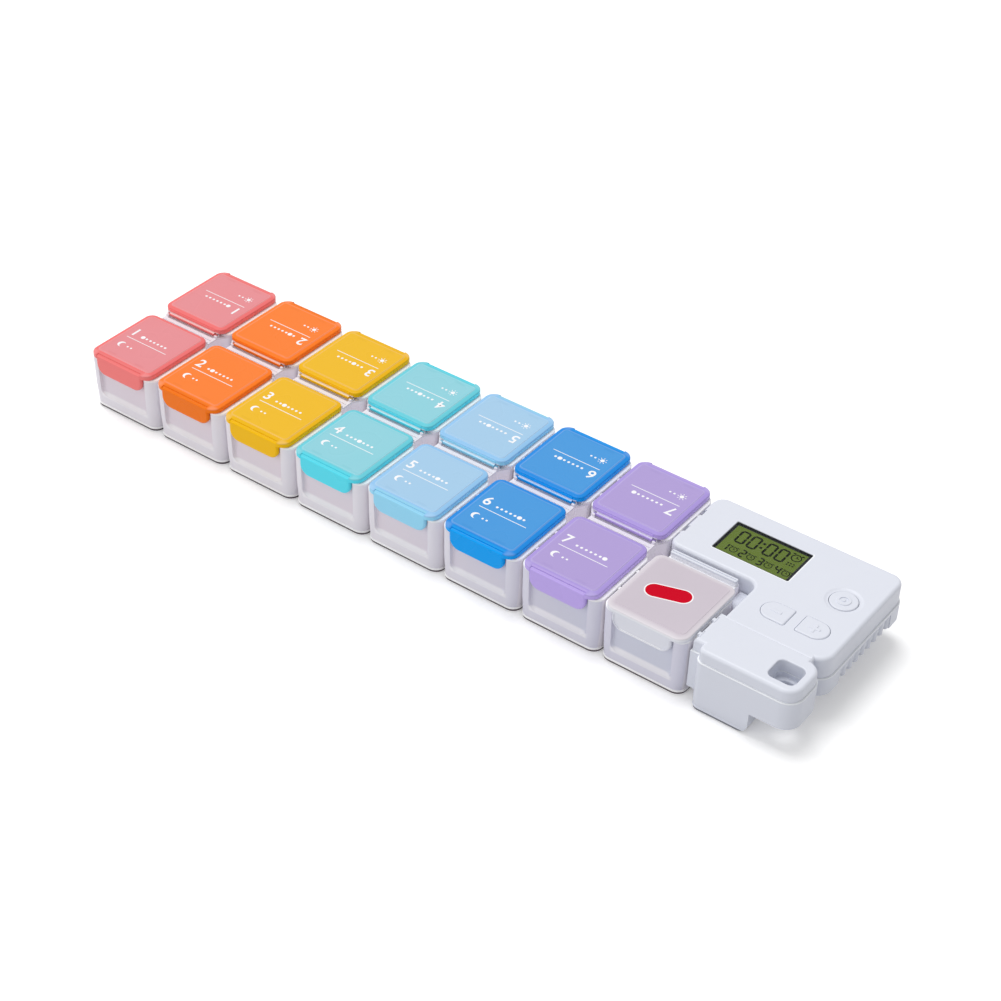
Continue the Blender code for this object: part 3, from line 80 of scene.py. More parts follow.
# Trays and lids
WAIST = (3.2 * MM, 2.6 * MM)  # How far a tray draws in at its waist, and half the waist's length
STRIP_HALF = 5.4 * MM  # From the middle to the edge of the strip between the rows
LEFT_TONGUES = (13.3 * MM, 24.1 * MM)  # From the middle to the tongues that join the day trays
RAIL_TONGUES = (-20.5 * MM, -29.0 * MM)  # The spare tray's tongues, in the timer's rail
HEAD = (1.6 * MM, 2.1 * MM)  # Where a tongue's head starts and ends, past its tray's face
PANEL_CORNER = 1.4 * MM  # Radius of a lid's raised panel
LID_RIB_X = 6.7 * MM  # From a lid's middle to the middle of each rib under it

# The timer's plan, from its left end and from the middle of its depth
ARM_FRONT = 3 * MM  # The arm behind the spare tray
NECK_LEFT = 34.6 * MM  # The neck between the arm and the rail
RAIL_LEFT, RAIL_BACK, RAIL_FRONT = 32.74 * MM, -15.5 * MM, -33 * MM
BLOCK_LEFT, BLOCK_BACK = 36.2 * MM, -17.9 * MM
BODY_FRONT = -17.3 * MM
SPLIT = (BODY_FRONT + BLOCK_BACK) / 2
FEET_END = 57.6 * MM  # To the right of this the underside is raised
KEY_HOLE_X = 8.47 * MM  # From the timer's right end to the middle of the key ring hole
WINDOW = (14.6 * MM, 8.55 * MM, 0.5 * MM)  # The display's opening: half width, half depth, corner
ROUND_BUTTON = 5.0 * MM  # Radius of the hole for the round button
D_BUTTONS = (("left_button", -1), ("right_button", 1))  # Each with the side that is round


def linear(tone):
    """Linear colour of a tone from 0 to 255, as it looks in daylight."""
    levels = [value / 255 for value in tone]
    return [v / 12.92 if v <= 0.04045 else ((v + 0.055) / 1.055) ** 2.4 for v in levels]


def length(name, description, millimetres):
    return FloatProperty(
        name=name, description=description, default=millimetres * MM, min=0.0, precision=5,
        subtype="DISTANCE", unit="LENGTH",
    )


def tint(name, description, *tone):
    return FloatVectorProperty(
        name=name, description=description, default=linear(tone), size=3, min=0.0, max=1.0, subtype="COLOR",
    )


def quarter_turn(steps):
    return [math.pi / 2 * step / steps for step in range(steps + 1)]


class TraySizes(bpy.types.PropertyGroup):
    """Sizes of the frosted trays"""
    pitch: length("Day pitch", "Distance from one day tray to the next", 32.74)
    width: length("Tray width", "Width of one tray", 32.14)
    half_depth: length("Half depth", "From the middle to a tray's outer face", 35.4)
    rim_height: length("Rim height", "Height of the compartments' rim", 22.6)
    strip_height: length("Strip height", "Height of the strip between the rows", 21.4)
    corner: length("Corner radius", "Radius of a tray's upright corners", 4.0)
    rim_round: length("Rim rounding", "Rounding of the rim's outer edge", 0.45)
    draft: length("Draft", "How far the foot draws in from the rim", 0.6)
    recess_depth: length("Recess depth", "Depth of the finger recess", 1.6)
    recess_foot: length("Recess foot", "Height of the sloping ledge at the foot of the recess", 2.0)
    tongue_neck: length("Tongue neck", "Width of a joining tongue's neck", 1.4)
    tongue_head: length("Tongue head", "Width of a joining tongue's head", 3.0)


class LidSizes(bpy.types.PropertyGroup):
    """Sizes of the hinged lids"""
    width: length("Lid width", "Width of a lid", 29.4)
    inner_y: length("Inner edge", "From the middle to a lid's hinge edge", 3.4)
    outer_y: length("Outer edge", "From the middle to a lid's outer edge", 36.5)
    corner: length("Corner radius", "Radius of a lid's outer corners", 4.0)
    hinge_corner: length("Hinge corner radius", "Radius of a lid's corners beside the hinge", 3.2)
    top: length("Top height", "Height of the panel above the table", 25.0)
    plate: length("Plate", "Thickness of the plate", 1.0)
    skirt_bottom: length("Skirt bottom", "Height of the lid's lower edge", 22.75)
    band: length("Band", "Width of the sloping band round the panel", 1.8)
    tab_band: length("Tab band", "Width of the band beside the tab", 2.8)
    band_drop: length("Band drop", "How far the band slopes down to the edge", 0.38)
    tab_width: length("Tab width", "Width of the finger tab", 22.4)
    tab_drop: length("Tab drop", "Height of the finger tab", 7.5)
    tab_corner: length("Tab corner", "Radius of the tab's lower corners", 4.0)
    hinge_y: length("Hinge place", "From the middle to a hinge axis", 3.2)
    hinge_height: length("Hinge height", "Height of a hinge axis", 22.2)
    barrel: length("Barrel radius", "Radius of the hinge barrel", 0.75)
    spare_extra: length("Spare lid's extra", "How much wider the spare lid is, towards the timer", 1.3)
    numeral: length("Numeral height", "Height of the printed numeral", 4.6)
    line: length("Printed line", "Length of the printed line", 19.5)


class TimerSizes(bpy.types.PropertyGroup):
    """Sizes of the alarm timer"""
    length: length("Length", "Length of the timer past the last day tray", 72.82)
    half_depth: length("Half depth", "From the middle to the timer's back or front", 36.5)
    height: length("Height", "Height of the timer's top", 24.5)
    top_round: length("Top rounding", "Rounding of the timer's top edge", 1.3)
    step: length("Seam step", "How far the lower shell stands out past the upper one", 0.55)
    wall: length("Wall", "Thickness of the case", 1.8)
    body_seam: length("Body seam", "Height of the seam round the body", 16.3)
    block_seam: length("Block seam", "Height of the seam round the front block", 19.8)
    seam_gap: length("Seam gap", "Width of the seam", 0.08)
    back_corner: length("Back corner", "Radius of the back corners", 5.0)
    front_corner: length("Front corner", "Radius of the right-hand corners", 6.0)
    body_underside: length("Body underside", "Height of the raised underside of the body", 9.4)
    block_underside: length("Block underside", "Height of the raised underside of the block", 9.0)
    rib_pitch: length("Rib pitch", "Distance between the grip ribs", 4.1)
    rib_radius: length("Rib radius", "Radius of a grip rib", 1.5)
    rib_count: IntProperty(name="Ribs", description="Number of grip ribs", default=9, min=1)


class Tones(bpy.types.PropertyGroup):
    """Colours of the plastics and the display"""
    frosted: tint("Frosted tray", "Colour of the trays", 247, 243, 250)
    case: tint("Case", "Colour of the timer's case and buttons", 223, 226, 236)
    milky: tint("Milky lid", "Colour of the spare tray's lid", 205, 195, 205)
    display: tint("Display", "Colour of the display", 97, 117, 38)
    digits: tint("Digits", "Colour of the display's digits", 12, 17, 8)
    ink: tint("Ink", "Colour of the print on the day lids", 250, 250, 252)
    red: tint("Red mark", "Colour of the mark on the spare lid", 208, 8, 38)


# Each pair of lids: the panel, the band round it and the tab, as tones from 0 to 255
LID_TONES = (
    ("coral", (228, 149, 155), (240, 116, 116), (255, 132, 130)),
    ("orange", (249, 131, 56), (253, 124, 28), (255, 124, 12)),
    ("yellow", (239, 188, 44), (238, 182, 10), (255, 197, 0)),
    ("aqua", (153, 210, 221), (106, 206, 220), (94, 232, 250)),
    ("sky", (170, 205, 231), (148, 198, 238), (158, 226, 255)),
    ("blue", (81, 157, 220), (26, 138, 224), (0, 166, 253)),
    ("lavender", (178, 160, 212), (172, 152, 220), (198, 175, 244)),
)

# Linear colours of painted light and shade on the trays, on top of the plastic's own: shade in the recess,
# cooler light at the right, a ledge highlight, a lighter spare strip, a contact shadow and a waist glow
TRAY_PAINTED_LIGHT = {
    "recess_left": (0.79, 0.71, 0.78), "recess_right": (0.76, 0.765, 0.82), "right_end": (0.84, 0.86, 0.93),
    "ledge": (1.0, 0.985, 1.0), "spare_strip": (0.95, 0.96, 1.0), "contact": (0.1, 0.07, 0.09),
    "waist_glow": (0.95, 0.88, 0.97),
}
BLACK, WHITE = (0.0, 0.0, 0.0), (1.0, 1.0, 1.0)


# Outlines and lofts

def corner_arc(before, here, after, radius, steps):
    """Points of the arc that rounds one corner of an outline."""
    if radius <= 0:
        return [here]
    to_before, to_after = (before - here).normalized(), (after - here).normalized()
    half = to_before.angle(to_after) / 2
    centre = here + (to_before + to_after).normalized() * (radius / math.sin(half))
    start = here + to_before * (radius / math.tan(half)) - centre
    end = here + to_after * (radius / math.tan(half)) - centre
    turn = start.angle_signed(end)
    return [centre + Matrix.Rotation(-turn * step / steps, 2) @ start for step in range(steps + 1)]


def outline(corners, inset=0.0, steps=8):
    """Outline through counter-clockwise (x, y, radius) corners, drawn in by an inset."""
    places = [Vector(corner[:2]) for corner in corners]
    count = len(places)
    moved, radii = [], []
    for index, here in enumerate(places):
        ahead = (here - places[index - 1]).normalized()
        onward = (places[(index + 1) % count] - here).normalized()
        normal_in, normal_on = Vector((-ahead.y, ahead.x)), Vector((-onward.y, onward.x))
        moved.append(here + (normal_in + normal_on) * (inset / (1 + normal_in.dot(normal_on))))
        radius = corners[index][2]
        grown = radius - inset if ahead.cross(onward) > 0 else radius + inset
        radii.append(max(grown, 0.05 * MM) if radius > 0 else 0.0)
    points = []
    for index in range(count):
        points += corner_arc(moved[index - 1], moved[index], moved[(index + 1) % count], radii[index], steps)
    return points


def rectangle(x_low, x_high, y_low, y_high, radius):
    return [(x, y, radius) for x, y in ((x_low, y_low), (x_high, y_low), (x_high, y_high), (x_low, y_high))]


def new_object(name, mesh):
    item = bpy.data.objects.new(name, mesh)
    bpy.context.scene.collection.objects.link(item)
    return item


def loft(name, rings):
    """Closed solid through rings of as many points each, the lowest first."""
    count = len(rings[0])
    faces = [list(range(count))[::-1], [(len(rings) - 1) * count + index for index in range(count)]]
    for ring in range(len(rings) - 1):
        low, high = ring * count, (ring + 1) * count
        for index in range(count):
            after = (index + 1) % count
            faces.append((low + index, low + after, high + after, high + index))
    mesh = bpy.data.meshes.new(name)
    mesh.from_pydata([point for ring in rings for point in ring], [], faces)
    return new_object(name, mesh)


def upright(name, corners, levels, steps=8):
    """Solid whose section at each (inset, height) level is the outline drawn in by the inset."""
    return loft(name, [[(p.x, p.y, z) for p in outline(corners, inset, steps)] for inset, z in levels])


def sideways(name, corners, levels, steps=8):
    """As upright, with the outline in X and Z and its levels towards -Y."""
    item = upright(name, corners, levels, steps)
    item.data.transform(Matrix.Rotation(math.radians(90), 4, "X"))
    return item


def crown(z_top, radius, steps=5):
    """Levels of an edge that rounds over to a flat top."""
    return [(radius * (1 - math.cos(a)), z_top - radius * (1 - math.sin(a))) for a in quarter_turn(steps)]


def foot(z_low, radius, steps):
    """Levels of an edge that rounds up from a flat underside."""
    return [(radius * (1 - math.sin(a)), z_low + radius * (1 - math.cos(a))) for a in quarter_turn(steps)]


def lipped_foot():
    """Levels of a wall whose foot stands back under a fine bright lip."""
    return [(inset * MM, z * MM) for inset, z in (
        (0.25, 0), (0.25, 0.75), (0.04, 0.86), (0, 1.05), (0.06, 1.24), (0.32, 1.4))]


def flare(z_top, radius, steps=4):
    """Levels of a cutter whose mouth opens over a rounded lip."""
    return [(-inset, z) for inset, z in crown(z_top, radius, steps)] + [(-radius, z_top + PAST)]


def box(name, x_low, x_high, y_low, y_high, z_low, z_high):
    return upright(name, rectangle(x_low, x_high, y_low, y_high, 0.0), [(0, z_low), (0, z_high)])


def cylinder(name, centre, radius, levels, sides):
    """Upright round solid with an inset at each level."""
    turns = [2 * math.pi * index / sides for index in range(sides)]
    corners = [(centre[0] + radius * math.cos(a), centre[1] + radius * math.sin(a), 0.0) for a in turns]
    return upright(name, corners, levels)


def peg(name, centre, radius, z_low, z_high, sides=24):
    """Plain upright cylinder."""
    return cylinder(name, centre, radius, [(0, z_low), (0, z_high)], sides)


def lying(name, y, z, radius, x_low, x_high):
    """Plain cylinder along X."""
    item = peg(name, (0, 0), radius, x_low, x_high)
    upright_to_x = Matrix(((0, 0, 1, 0), (1, 0, 0, 0), (0, 1, 0, 0), (0, 0, 0, 1)))
    item.data.transform(Matrix.Translation((0, y, z)) @ upright_to_x)
    return item


def evaluated(item):
    return bpy.data.meshes.new_from_object(item.evaluated_get(bpy.context.evaluated_depsgraph_get()))


def apply_modifiers(item):
    mesh = evaluated(item)
    item.modifiers.clear()
    old, item.data = item.data, mesh
    bpy.data.meshes.remove(old)
    return item


def combine(body, tools, operation):
    for tool in tools:
        modifier = body.modifiers.new(operation, "BOOLEAN")
        modifier.operation = operation
        modifier.solver = "EXACT"
        modifier.object = tool
        apply_modifiers(body)
        bpy.data.objects.remove(tool)
    return body


def cut(body, *tools):
    return combine(body, tools, "DIFFERENCE")


def fuse(body, *tools):
    return combine(body, tools, "UNION")


def smooth(item, angle=32):
    """Weld, shade round faces smooth and keep the flat ones flat."""
    work = bmesh.new()
    work.from_mesh(item.data)
    bmesh.ops.remove_doubles(work, verts=work.verts, dist=WELD)
    bmesh.ops.dissolve_degenerate(work, edges=work.edges, dist=WELD)
    bmesh.ops.recalc_face_normals(work, faces=work.faces)
    work.to_mesh(item.data)
    work.free()
    item.data.validate()
    item.data.shade_smooth()
    item.data.set_sharp_from_angle(angle=math.radians(angle))
    weighted = item.modifiers.new("Weighted Normal", "WEIGHTED_NORMAL")
    weighted.keep_sharp = True
    weighted.weight = 80
    return apply_modifiers(item)


def piece(source, name, place, material, body, slot, replaced=()):
    """Copy a shaped mesh to its place and hang it on its body."""
    mesh = source.data.copy()
    mesh.name = name
    mesh.transform(place)
    mesh.materials.clear()
    mesh.materials.append(material)
    item = new_object(name, mesh)
    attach(item, body)
    if replaced:
        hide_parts(*replaced)
    return item


def single(source, *details):
    """As piece, with the shape used only once."""
    item = piece(source, *details)
    bpy.data.objects.remove(source)
    return item


# Materials

class Signal:
    """A value in a node tree; arithmetic on it adds the Math nodes."""

    def __init__(self, nodes, socket):
        self.nodes, self.socket = nodes, socket

    def maths(self, operation, *others):
        return self.nodes.node("ShaderNodeMath", {"operation": operation}, self, *others)

    def __add__(self, other):
        return self.maths("ADD", other)

    __radd__ = __add__

    def __sub__(self, other):
        return self.maths("SUBTRACT", other)

    def __rsub__(self, other):
        return self.nodes.node("ShaderNodeMath", {"operation": "SUBTRACT"}, other, self)

    def __mul__(self, other):
        return self.maths("MULTIPLY", other)

    __rmul__ = __mul__

    def __abs__(self):
        return self.maths("ABSOLUTE")

    def above(self, other):
        return self.maths("MAXIMUM", other)

    def root(self):
        return self.maths("SQRT")

    def rise(self, low, high):
        """0 up to one value and 1 from another, smooth between them."""
        return self.nodes.node(
            "ShaderNodeMapRange", {"interpolation_type": "SMOOTHSTEP"}, self, low, high, 0.0, 1.0)

    def fall(self, low, high):
        """1 up to one value and 0 from another, smooth between them."""
        return 1 - self.rise(low, high)

    def within(self, half, soft):
        """1 where the value lies within plus or minus a half width."""
        return abs(self).fall(half - soft, half + soft)


class Nodes:
    """A shader node tree, with one method that adds a node of any kind."""

    def __init__(self, tree):
        self.tree = tree

    def feed(self, socket, value):
        if isinstance(value, Signal):
            self.tree.links.new(value.socket, socket)
        elif isinstance(value, (tuple, list)) and len(value) == 3 and socket.type == "RGBA":
            socket.default_value = (*value, 1.0)
        else:
            socket.default_value = value

    def node(self, kind, settings, *values, output=0, **named):
        node = self.tree.nodes.new(kind)
        for name, value in settings.items():
            setattr(node, name, value)
        for index, value in enumerate(values):
            self.feed(node.inputs[index], value)
        for name, value in named.items():
            self.feed(node.inputs[name.replace("_", " ")], value)
        return Signal(self, node.outputs[output])

    def seen(self):
        """1 for rays that show a surface as a picture: camera, gloss and glass."""
        rays = self.node("ShaderNodeLightPath", {}).socket.node.outputs
        camera, gloss, glass = [
            Signal(self, rays[f"Is {kind} Ray"]) for kind in ("Camera", "Glossy", "Transmission")]
        return camera.above(gloss).above(glass)


class Paint(Nodes):
    """A material with one Principled shader and the nodes that feed it."""

    def __init__(self, name, **sockets):
        self.material = bpy.data.materials.new(name)
        self.material.use_nodes = True
        super().__init__(self.material.node_tree)
        self.shader = self.tree.nodes["Principled BSDF"]
        self.set(**sockets)

    def set(self, **sockets):
        for name, value in sockets.items():
            self.feed(self.shader.inputs[name.replace("_", " ")], value)
        return self

    def place(self):
        """A point on the piece, and its X, Y and Z."""
        here = self.node("ShaderNodeTexCoord", {}, output=3)
        parts = self.node("ShaderNodeSeparateXYZ", {}, here)
        return here, [Signal(self, parts.socket.node.outputs[axis]) for axis in range(3)]

    def blend(self, share, first, second):
        node = self.tree.nodes.new("ShaderNodeMix")
        node.data_type = "RGBA"
        for index, value in ((0, share), (6, first), (7, second)):
            self.feed(node.inputs[index], value)
        return Signal(self, node.outputs[2])

    def noise(self, here, scale, detail=3.0):
        return self.node("ShaderNodeTexNoise", {}, Vector=here, Scale=scale, Detail=detail)

    def bump(self, height, strength, distance=0.02 * MM):
        normal = self.node("ShaderNodeBump", {}, Height=height, Strength=strength, Distance=distance)
        return self.set(Normal=normal)


def dimmed(colour, share):
    """The colour taken down to a share of its strength."""
    return [value * share for value in colour]


def paler(colour, share):
    """The colour taken a share of the way to white."""
    return [value + (1 - value) * share for value in colour]


def moulded(name, colour, roughness, shade=0.035, grain=0.12, **sockets):
    """Injection-moulded plastic: faint cloudiness, satin grain and a softer gloss in places."""
    paint = Paint(name, **sockets)
    here, axes = paint.place()
    cloud = paint.noise(here, 60.0, 1.5)
    fine = paint.noise(here, 2600.0, 2.0)
    paint.set(Base_Color=paint.blend(cloud, dimmed(colour, 1 - shade * 2), colour),
              Roughness=roughness + (fine - 0.5) * 0.08)
    paint.bump(fine, grain)
    return paint, here, axes


def across_tray(x, trays):
    """Distance to the right of the middle of the tray that a point is on."""
    return (x - FIRST_TRAY_LEFT).maths("FLOORED_MODULO", trays.pitch) - trays.width / 2


def contact_line(z):
    """Painted contact shadow: a fine dark line where a foot meets the table, but not on the underside."""
    return z.rise(0.01 * MM, 0.03 * MM) * z.fall(0.72 * MM, 0.8 * MM)


def plain(name, colour, roughness, **options):
    return moulded(name, colour, roughness, **options)[0].material


def lid_plan(axes, trays, lids):
    """Place on a lid, measured from the middle of its panel."""
    x, y, z = axes
    near, far = lids.inner_y + lids.band, lids.outer_y - lids.tab_band
    return across_tray(x, trays), abs(y) - (near + far) / 2, z


def edge_distance(across, along, half_x, half_y, radius):
    """Distance outside a rounded rectangle, less its radius inside."""
    over_x = (abs(across) - (half_x - radius)).above(0.0)
    over_y = (abs(along) - (half_y - radius)).above(0.0)
    return (over_x * over_x + over_y * over_y).root() - radius


def lid_material(name, panel, rim, deep, trays, lids):
    """Tinted translucent plastic, paler in the panel and deeper at the band, sides and tab."""
    paint = Paint(name, Specular_IOR_Level=0.12)
    here, axes = paint.place()
    across, along, z = lid_plan(axes, trays, lids)
    half_x = lids.width / 2 - lids.band
    half_y = (lids.outer_y - lids.inner_y - lids.band - lids.tab_band) / 2
    edge = edge_distance(across, along, half_x, half_y, PANEL_CORNER)
    cloud = paint.noise(here, 70.0, 1.0)

    # Panel: deeper towards its edge, and a faint shadow of the ribs under it
    near_edge = (edge + 2.4 * MM).rise(0.0, 2.4 * MM)
    pale = paint.blend(near_edge * 0.3 + cloud * 0.12, panel, rim)
    ribs = (abs(across) - LID_RIB_X).within(2.1 * MM, 0.6 * MM) * (
        along - half_y + PANEL_CORNER).within(0.45 * MM, 0.4 * MM)
    pale = paint.blend(ribs * 0.14, pale, dimmed(rim, 0.7))

    # Band: painted highlights at the outer corners, deeper along the tab from the thick tab's colour and
    # painted shade in its notch, with a painted highlight line round the panel
    corner = abs(across).rise(10.6 * MM, 12.2 * MM) * along.rise(half_y - 0.5 * MM, half_y + 1.2 * MM)
    band = paint.blend(corner * 0.4, rim, paler(rim, 0.25))
    ledge = abs(across).fall(10.7 * MM, 11.0 * MM) * along.rise(half_y + 0.7 * MM, half_y + 1.1 * MM)
    band = paint.blend(ledge * 0.85, band, dimmed(deep, 0.84))
    colour = paint.blend(1 - edge.rise(-0.15 * MM, 0.2 * MM), band, pale)
    line = (edge + 0.05 * MM).within(0.3 * MM, 0.25 * MM)
    colour = paint.blend(line * 0.24, colour, paler(panel, 0.4))

    # Sides: a painted highlight along the lower edge, and painted shade round the hinge barrel
    lower_edge_highlight = (z - lids.skirt_bottom - 0.3 * MM).within(0.26 * MM, 0.15 * MM)
    lower_edge_highlight = lower_edge_highlight * along.fall(-half_y - 1.7 * MM, -half_y - 1.4 * MM)
    side = paint.blend(lower_edge_highlight * 0.9, deep, paler(rim, 0.7))
    barrel = z.fall(lids.skirt_bottom - 0.3 * MM, lids.skirt_bottom) * along.fall(-half_y, -half_y + 1 * MM)
    side = paint.blend(barrel, side, dimmed(deep, 0.75))
    top = z.rise(lids.top - 0.85 * MM, lids.top - 0.7 * MM)
    paint.set(Base_Color=paint.blend(top, side, colour), Roughness=0.28 + (cloud - 0.5) * 0.08)
    paint.bump(paint.noise(here, 2200.0, 2.0), 0.06)
    return paint.material


def milky_material(tones, trays, lids):
    """Milky translucent plastic, with painted highlights round its rim, along the tab's lower edge and in a
    band just below the top.
    """
    milky, extra = tones.milky[:], lids.spare_extra
    paint, here, axes = moulded("milky_lid_plastic", milky, 0.34, Specular_IOR_Level=0.25)
    across, along, z = lid_plan(axes, trays, lids)
    half_y = (lids.outer_y - lids.inner_y) / 2
    middle = (lids.band - lids.tab_band) / 2
    edge = edge_distance(across - extra / 2, along + middle, (lids.width + extra) / 2, half_y, lids.corner)
    colour = paint.blend(paint.noise(here, 60.0, 1.5), dimmed(milky, 0.95), milky)
    # Painted highlight round the rim
    colour = paint.blend(edge.rise(-2.8 * MM, -0.6 * MM) * 0.3, colour, paler(milky, 0.75))
    tab = z.fall(lids.top - 1.0 * MM, lids.top - 0.7 * MM)
    colour = paint.blend(tab, colour, (0.8, 0.81, 0.88))
    bottom = lids.top - lids.plate - lids.tab_drop
    # Painted highlights along the tab's lower edge and in a band just below the top
    tab_edge_highlight = z.fall(bottom + 0.6 * MM, bottom + 1.1 * MM)
    shine = (z - lids.top + 1.0 * MM).within(0.45 * MM, 0.3 * MM)
    paint.set(Base_Color=paint.blend(tab_edge_highlight.above(shine * 0.5), colour, (0.97, 0.98, 1.0)))
    return paint.material


def frosted_material(tones, trays):
    """Frosted plastic, greyer with painted shade in the finger recess, with painted highlights at rim and
    foot, a painted contact shadow and a painted glow at the waist.
    """
    frosted = tones.frosted[:]
    paint, here, axes = moulded(
        "frosted_plastic", frosted, 0.42, Specular_IOR_Level=0.35, Emission_Strength=0.11)
    x, y, z = axes
    across = across_tray(x, trays)
    colour = paint.blend(paint.noise(here, 90.0), dimmed(frosted, 0.9), dimmed(frosted, 0.94))

    # Painted shade in the finger recess, and painted cooler light on the trays at the right
    outer = abs(y).rise(31 * MM, 33 * MM)
    recess = across.within(11.3 * MM, 0.5 * MM) * outer
    recess = recess * z.rise(6.2 * MM, 7.4 * MM) * z.fall(21.8 * MM, 22.2 * MM)
    shade = paint.blend(x.rise(-20 * MM, 100 * MM), TRAY_PAINTED_LIGHT["recess_left"], TRAY_PAINTED_LIGHT["recess_right"])
    colour = paint.blend(recess * 0.85, colour, shade)
    face = abs(y).rise(32.6 * MM, 33.2 * MM)
    cooler = paint.blend(x.rise(-20 * MM, 80 * MM) * face, WHITE, TRAY_PAINTED_LIGHT["right_end"])
    colour = paint.node("ShaderNodeVectorMath", {"operation": "MULTIPLY"}, colour, cooler)

    # Painted highlights on the ledge under the recess and, fainter, below it, on the rim and on the foot's lip
    front = across.within(11.6 * MM, 0.8 * MM) * outer
    ledge = front * (z - 5.9 * MM).within(1.0 * MM, 0.5 * MM)
    below = front * z.fall(5.0 * MM, 6.0 * MM) * 0.15
    colour = paint.blend(ledge.above(below) * 0.65, colour, TRAY_PAINTED_LIGHT["ledge"])
    rim = z.rise(trays.rim_height - 1.0 * MM, trays.rim_height - 0.4 * MM) * abs(y).rise(5.6 * MM, 6.0 * MM)
    lip = z.fall(1.35 * MM, 1.6 * MM)
    colour = paint.blend(lip.above(rim * 0.85), colour, WHITE)

    # The spare tray's strip, painted lighter to lift the shade on it, and its ridge and risers, which match
    # the case
    spare_strip = x.rise(79 * MM, 80 * MM) * abs(y).fall(5.3 * MM, 5.6 * MM) * z.rise(20.5 * MM, 21.0 * MM)
    colour = paint.blend(spare_strip * 0.8, colour, TRAY_PAINTED_LIGHT["spare_strip"])
    raised = z.rise(22.75 * MM, 22.85 * MM)
    colour = paint.blend(raised, colour, tones.case[:])

    # Painted glow at the waist, standing in for light that the thin walls let through, and the painted contact
    # shadow at the foot
    waist = abs(y).fall(5.6 * MM, 6.6 * MM) * z.fall(20.6 * MM, 21.2 * MM)
    paint.set(Base_Color=paint.blend(contact_line(z), colour, TRAY_PAINTED_LIGHT["contact"]),
              Emission_Color=paint.blend(waist, BLACK, TRAY_PAINTED_LIGHT["waist_glow"]))
    return paint.material


def case_material(tones, timer):
    """White moulded plastic, with painted highlights on the lower shell's top edge and along the window's near
    sides, and a painted contact shadow at its foot.
    """
    case = tones.case[:]
    paint, here, (x, y, z) = moulded("white_case_plastic", case, 0.36, Specular_IOR_Level=0.35)
    colour = paint.blend(paint.noise(here, 60.0, 1.5), dimmed(case, 0.98), case)
    block = y.fall(BLOCK_BACK, BLOCK_BACK + 0.2 * MM)
    # Painted highlight along the top edge of the lower shell at both seams
    edge = (z - timer.block_seam + 0.12 * MM).within(0.2 * MM, 0.08 * MM) * block
    edge = edge.above((z - timer.body_seam + 0.12 * MM).within(0.2 * MM, 0.08 * MM) * (1 - block))
    (middle_x, middle_y), (half_x, half_y, corner) = node_centre("display_panel"), WINDOW
    across, along = x - (TIMER_LEFT + middle_x), y - middle_y
    # Painted highlight along the window's near sides
    lip = (edge_distance(across, along, half_x, half_y, corner) - 0.22 * MM).within(0.25 * MM, 0.1 * MM)
    lip = lip * across.rise(14.2 * MM, 14.5 * MM).above(along.fall(-8.6 * MM, -8.3 * MM))
    colour = paint.blend((edge * 0.8).above(lip), colour, (0.96, 0.98, 1.0))
    # Painted contact shadow at the foot
    paint.set(Base_Color=paint.blend(contact_line(z) * 0.9, colour, (0.13, 0.13, 0.16)))
    return paint.material


# Trays

def tray_corners(trays, back_row):
    """Plan of a tray: a day tray has a waist in the middle, the spare one ends just behind it."""
    depth, width = trays.half_depth, trays.width
    waist_x, waist_y = WAIST
    half = [(0, -depth, trays.corner), (width, -depth, trays.corner),
            (width, -7 * MM, 3 * MM), (width - waist_x, -waist_y, 1.5 * MM)]
    if back_row:
        right = half + [(x, -y, radius) for x, y, radius in half[:1:-1]]
        return right + [(width - x, -y, radius) for x, y, radius in right]
    back = 2.4 * MM
    return half + [(width - waist_x, back, 0), (waist_x, back, 0),
                   (waist_x, -waist_y, 1.5 * MM), (0, -7 * MM, 3 * MM)]


def pocket(trays, side):
    """Cutter for one compartment, scooped at the floor and lipped at the rim."""
    end_wall, side_wall, floor = 2.4 * MM, 2.6 * MM, 1.6 * MM
    y_low, y_high = sorted((side * 6.6 * MM, side * (trays.half_depth - end_wall)))
    corners = rectangle(side_wall, trays.width - side_wall, y_low, y_high, 3.5 * MM)
    return upright("pocket", corners, foot(floor, 3 * MM, 5) + flare(trays.rim_height, 0.35 * MM))


def recess(trays, lids, side):
    """Cutter for the finger recess behind a tab, with a sloping ledge at its foot."""
    middle, half = trays.width / 2, lids.tab_width / 2 + 0.4 * MM
    bottom, top = 5.0 * MM, trays.rim_height + PAST
    rings = []
    for share, inset, rise in ((1.0, 0.55, 1.0), (0.97, 0.32, 0.86), (0.85, 0.18, 0.62), (0.5, 0.08, 0.3),
                               (0.15, 0.0, 0.08), (0.0, -0.12, 0.0), (-0.3, -0.5, -0.25)):
        left, right = middle - (half - inset * MM), middle + (half - inset * MM)
        z, y = bottom + trays.recess_foot * rise, trays.recess_depth * share - trays.half_depth
        face = outline([(left, z, 3 * MM), (right, z, 3 * MM), (right, top, 0), (left, top, 0)])
        rings.append([(p.x, y, p.y) for p in face])
    item = loft("recess", rings)
    if side > 0:
        item.data.transform(Matrix.Translation((trays.width, 0, 0)) @ Matrix.Rotation(math.pi, 4, "Z"))
    return item


def tongue_corners(x_face, y, trays, gap, start, head):
    """T-shaped plan of a tongue, or with a gap of the slot round it."""
    neck_half, head_half = trays.tongue_neck / 2 + gap, trays.tongue_head / 2 + gap
    start_x, head_x, tip_x = x_face + start, x_face + head[0], x_face + head[1]
    return [(start_x, y - neck_half, 0), (head_x, y - neck_half, 0), (head_x, y - head_half, 0),
            (tip_x, y - head_half, 0), (tip_x, y + head_half, 0), (head_x, y + head_half, 0),
            (head_x, y + neck_half, 0), (start_x, y + neck_half, 0)]


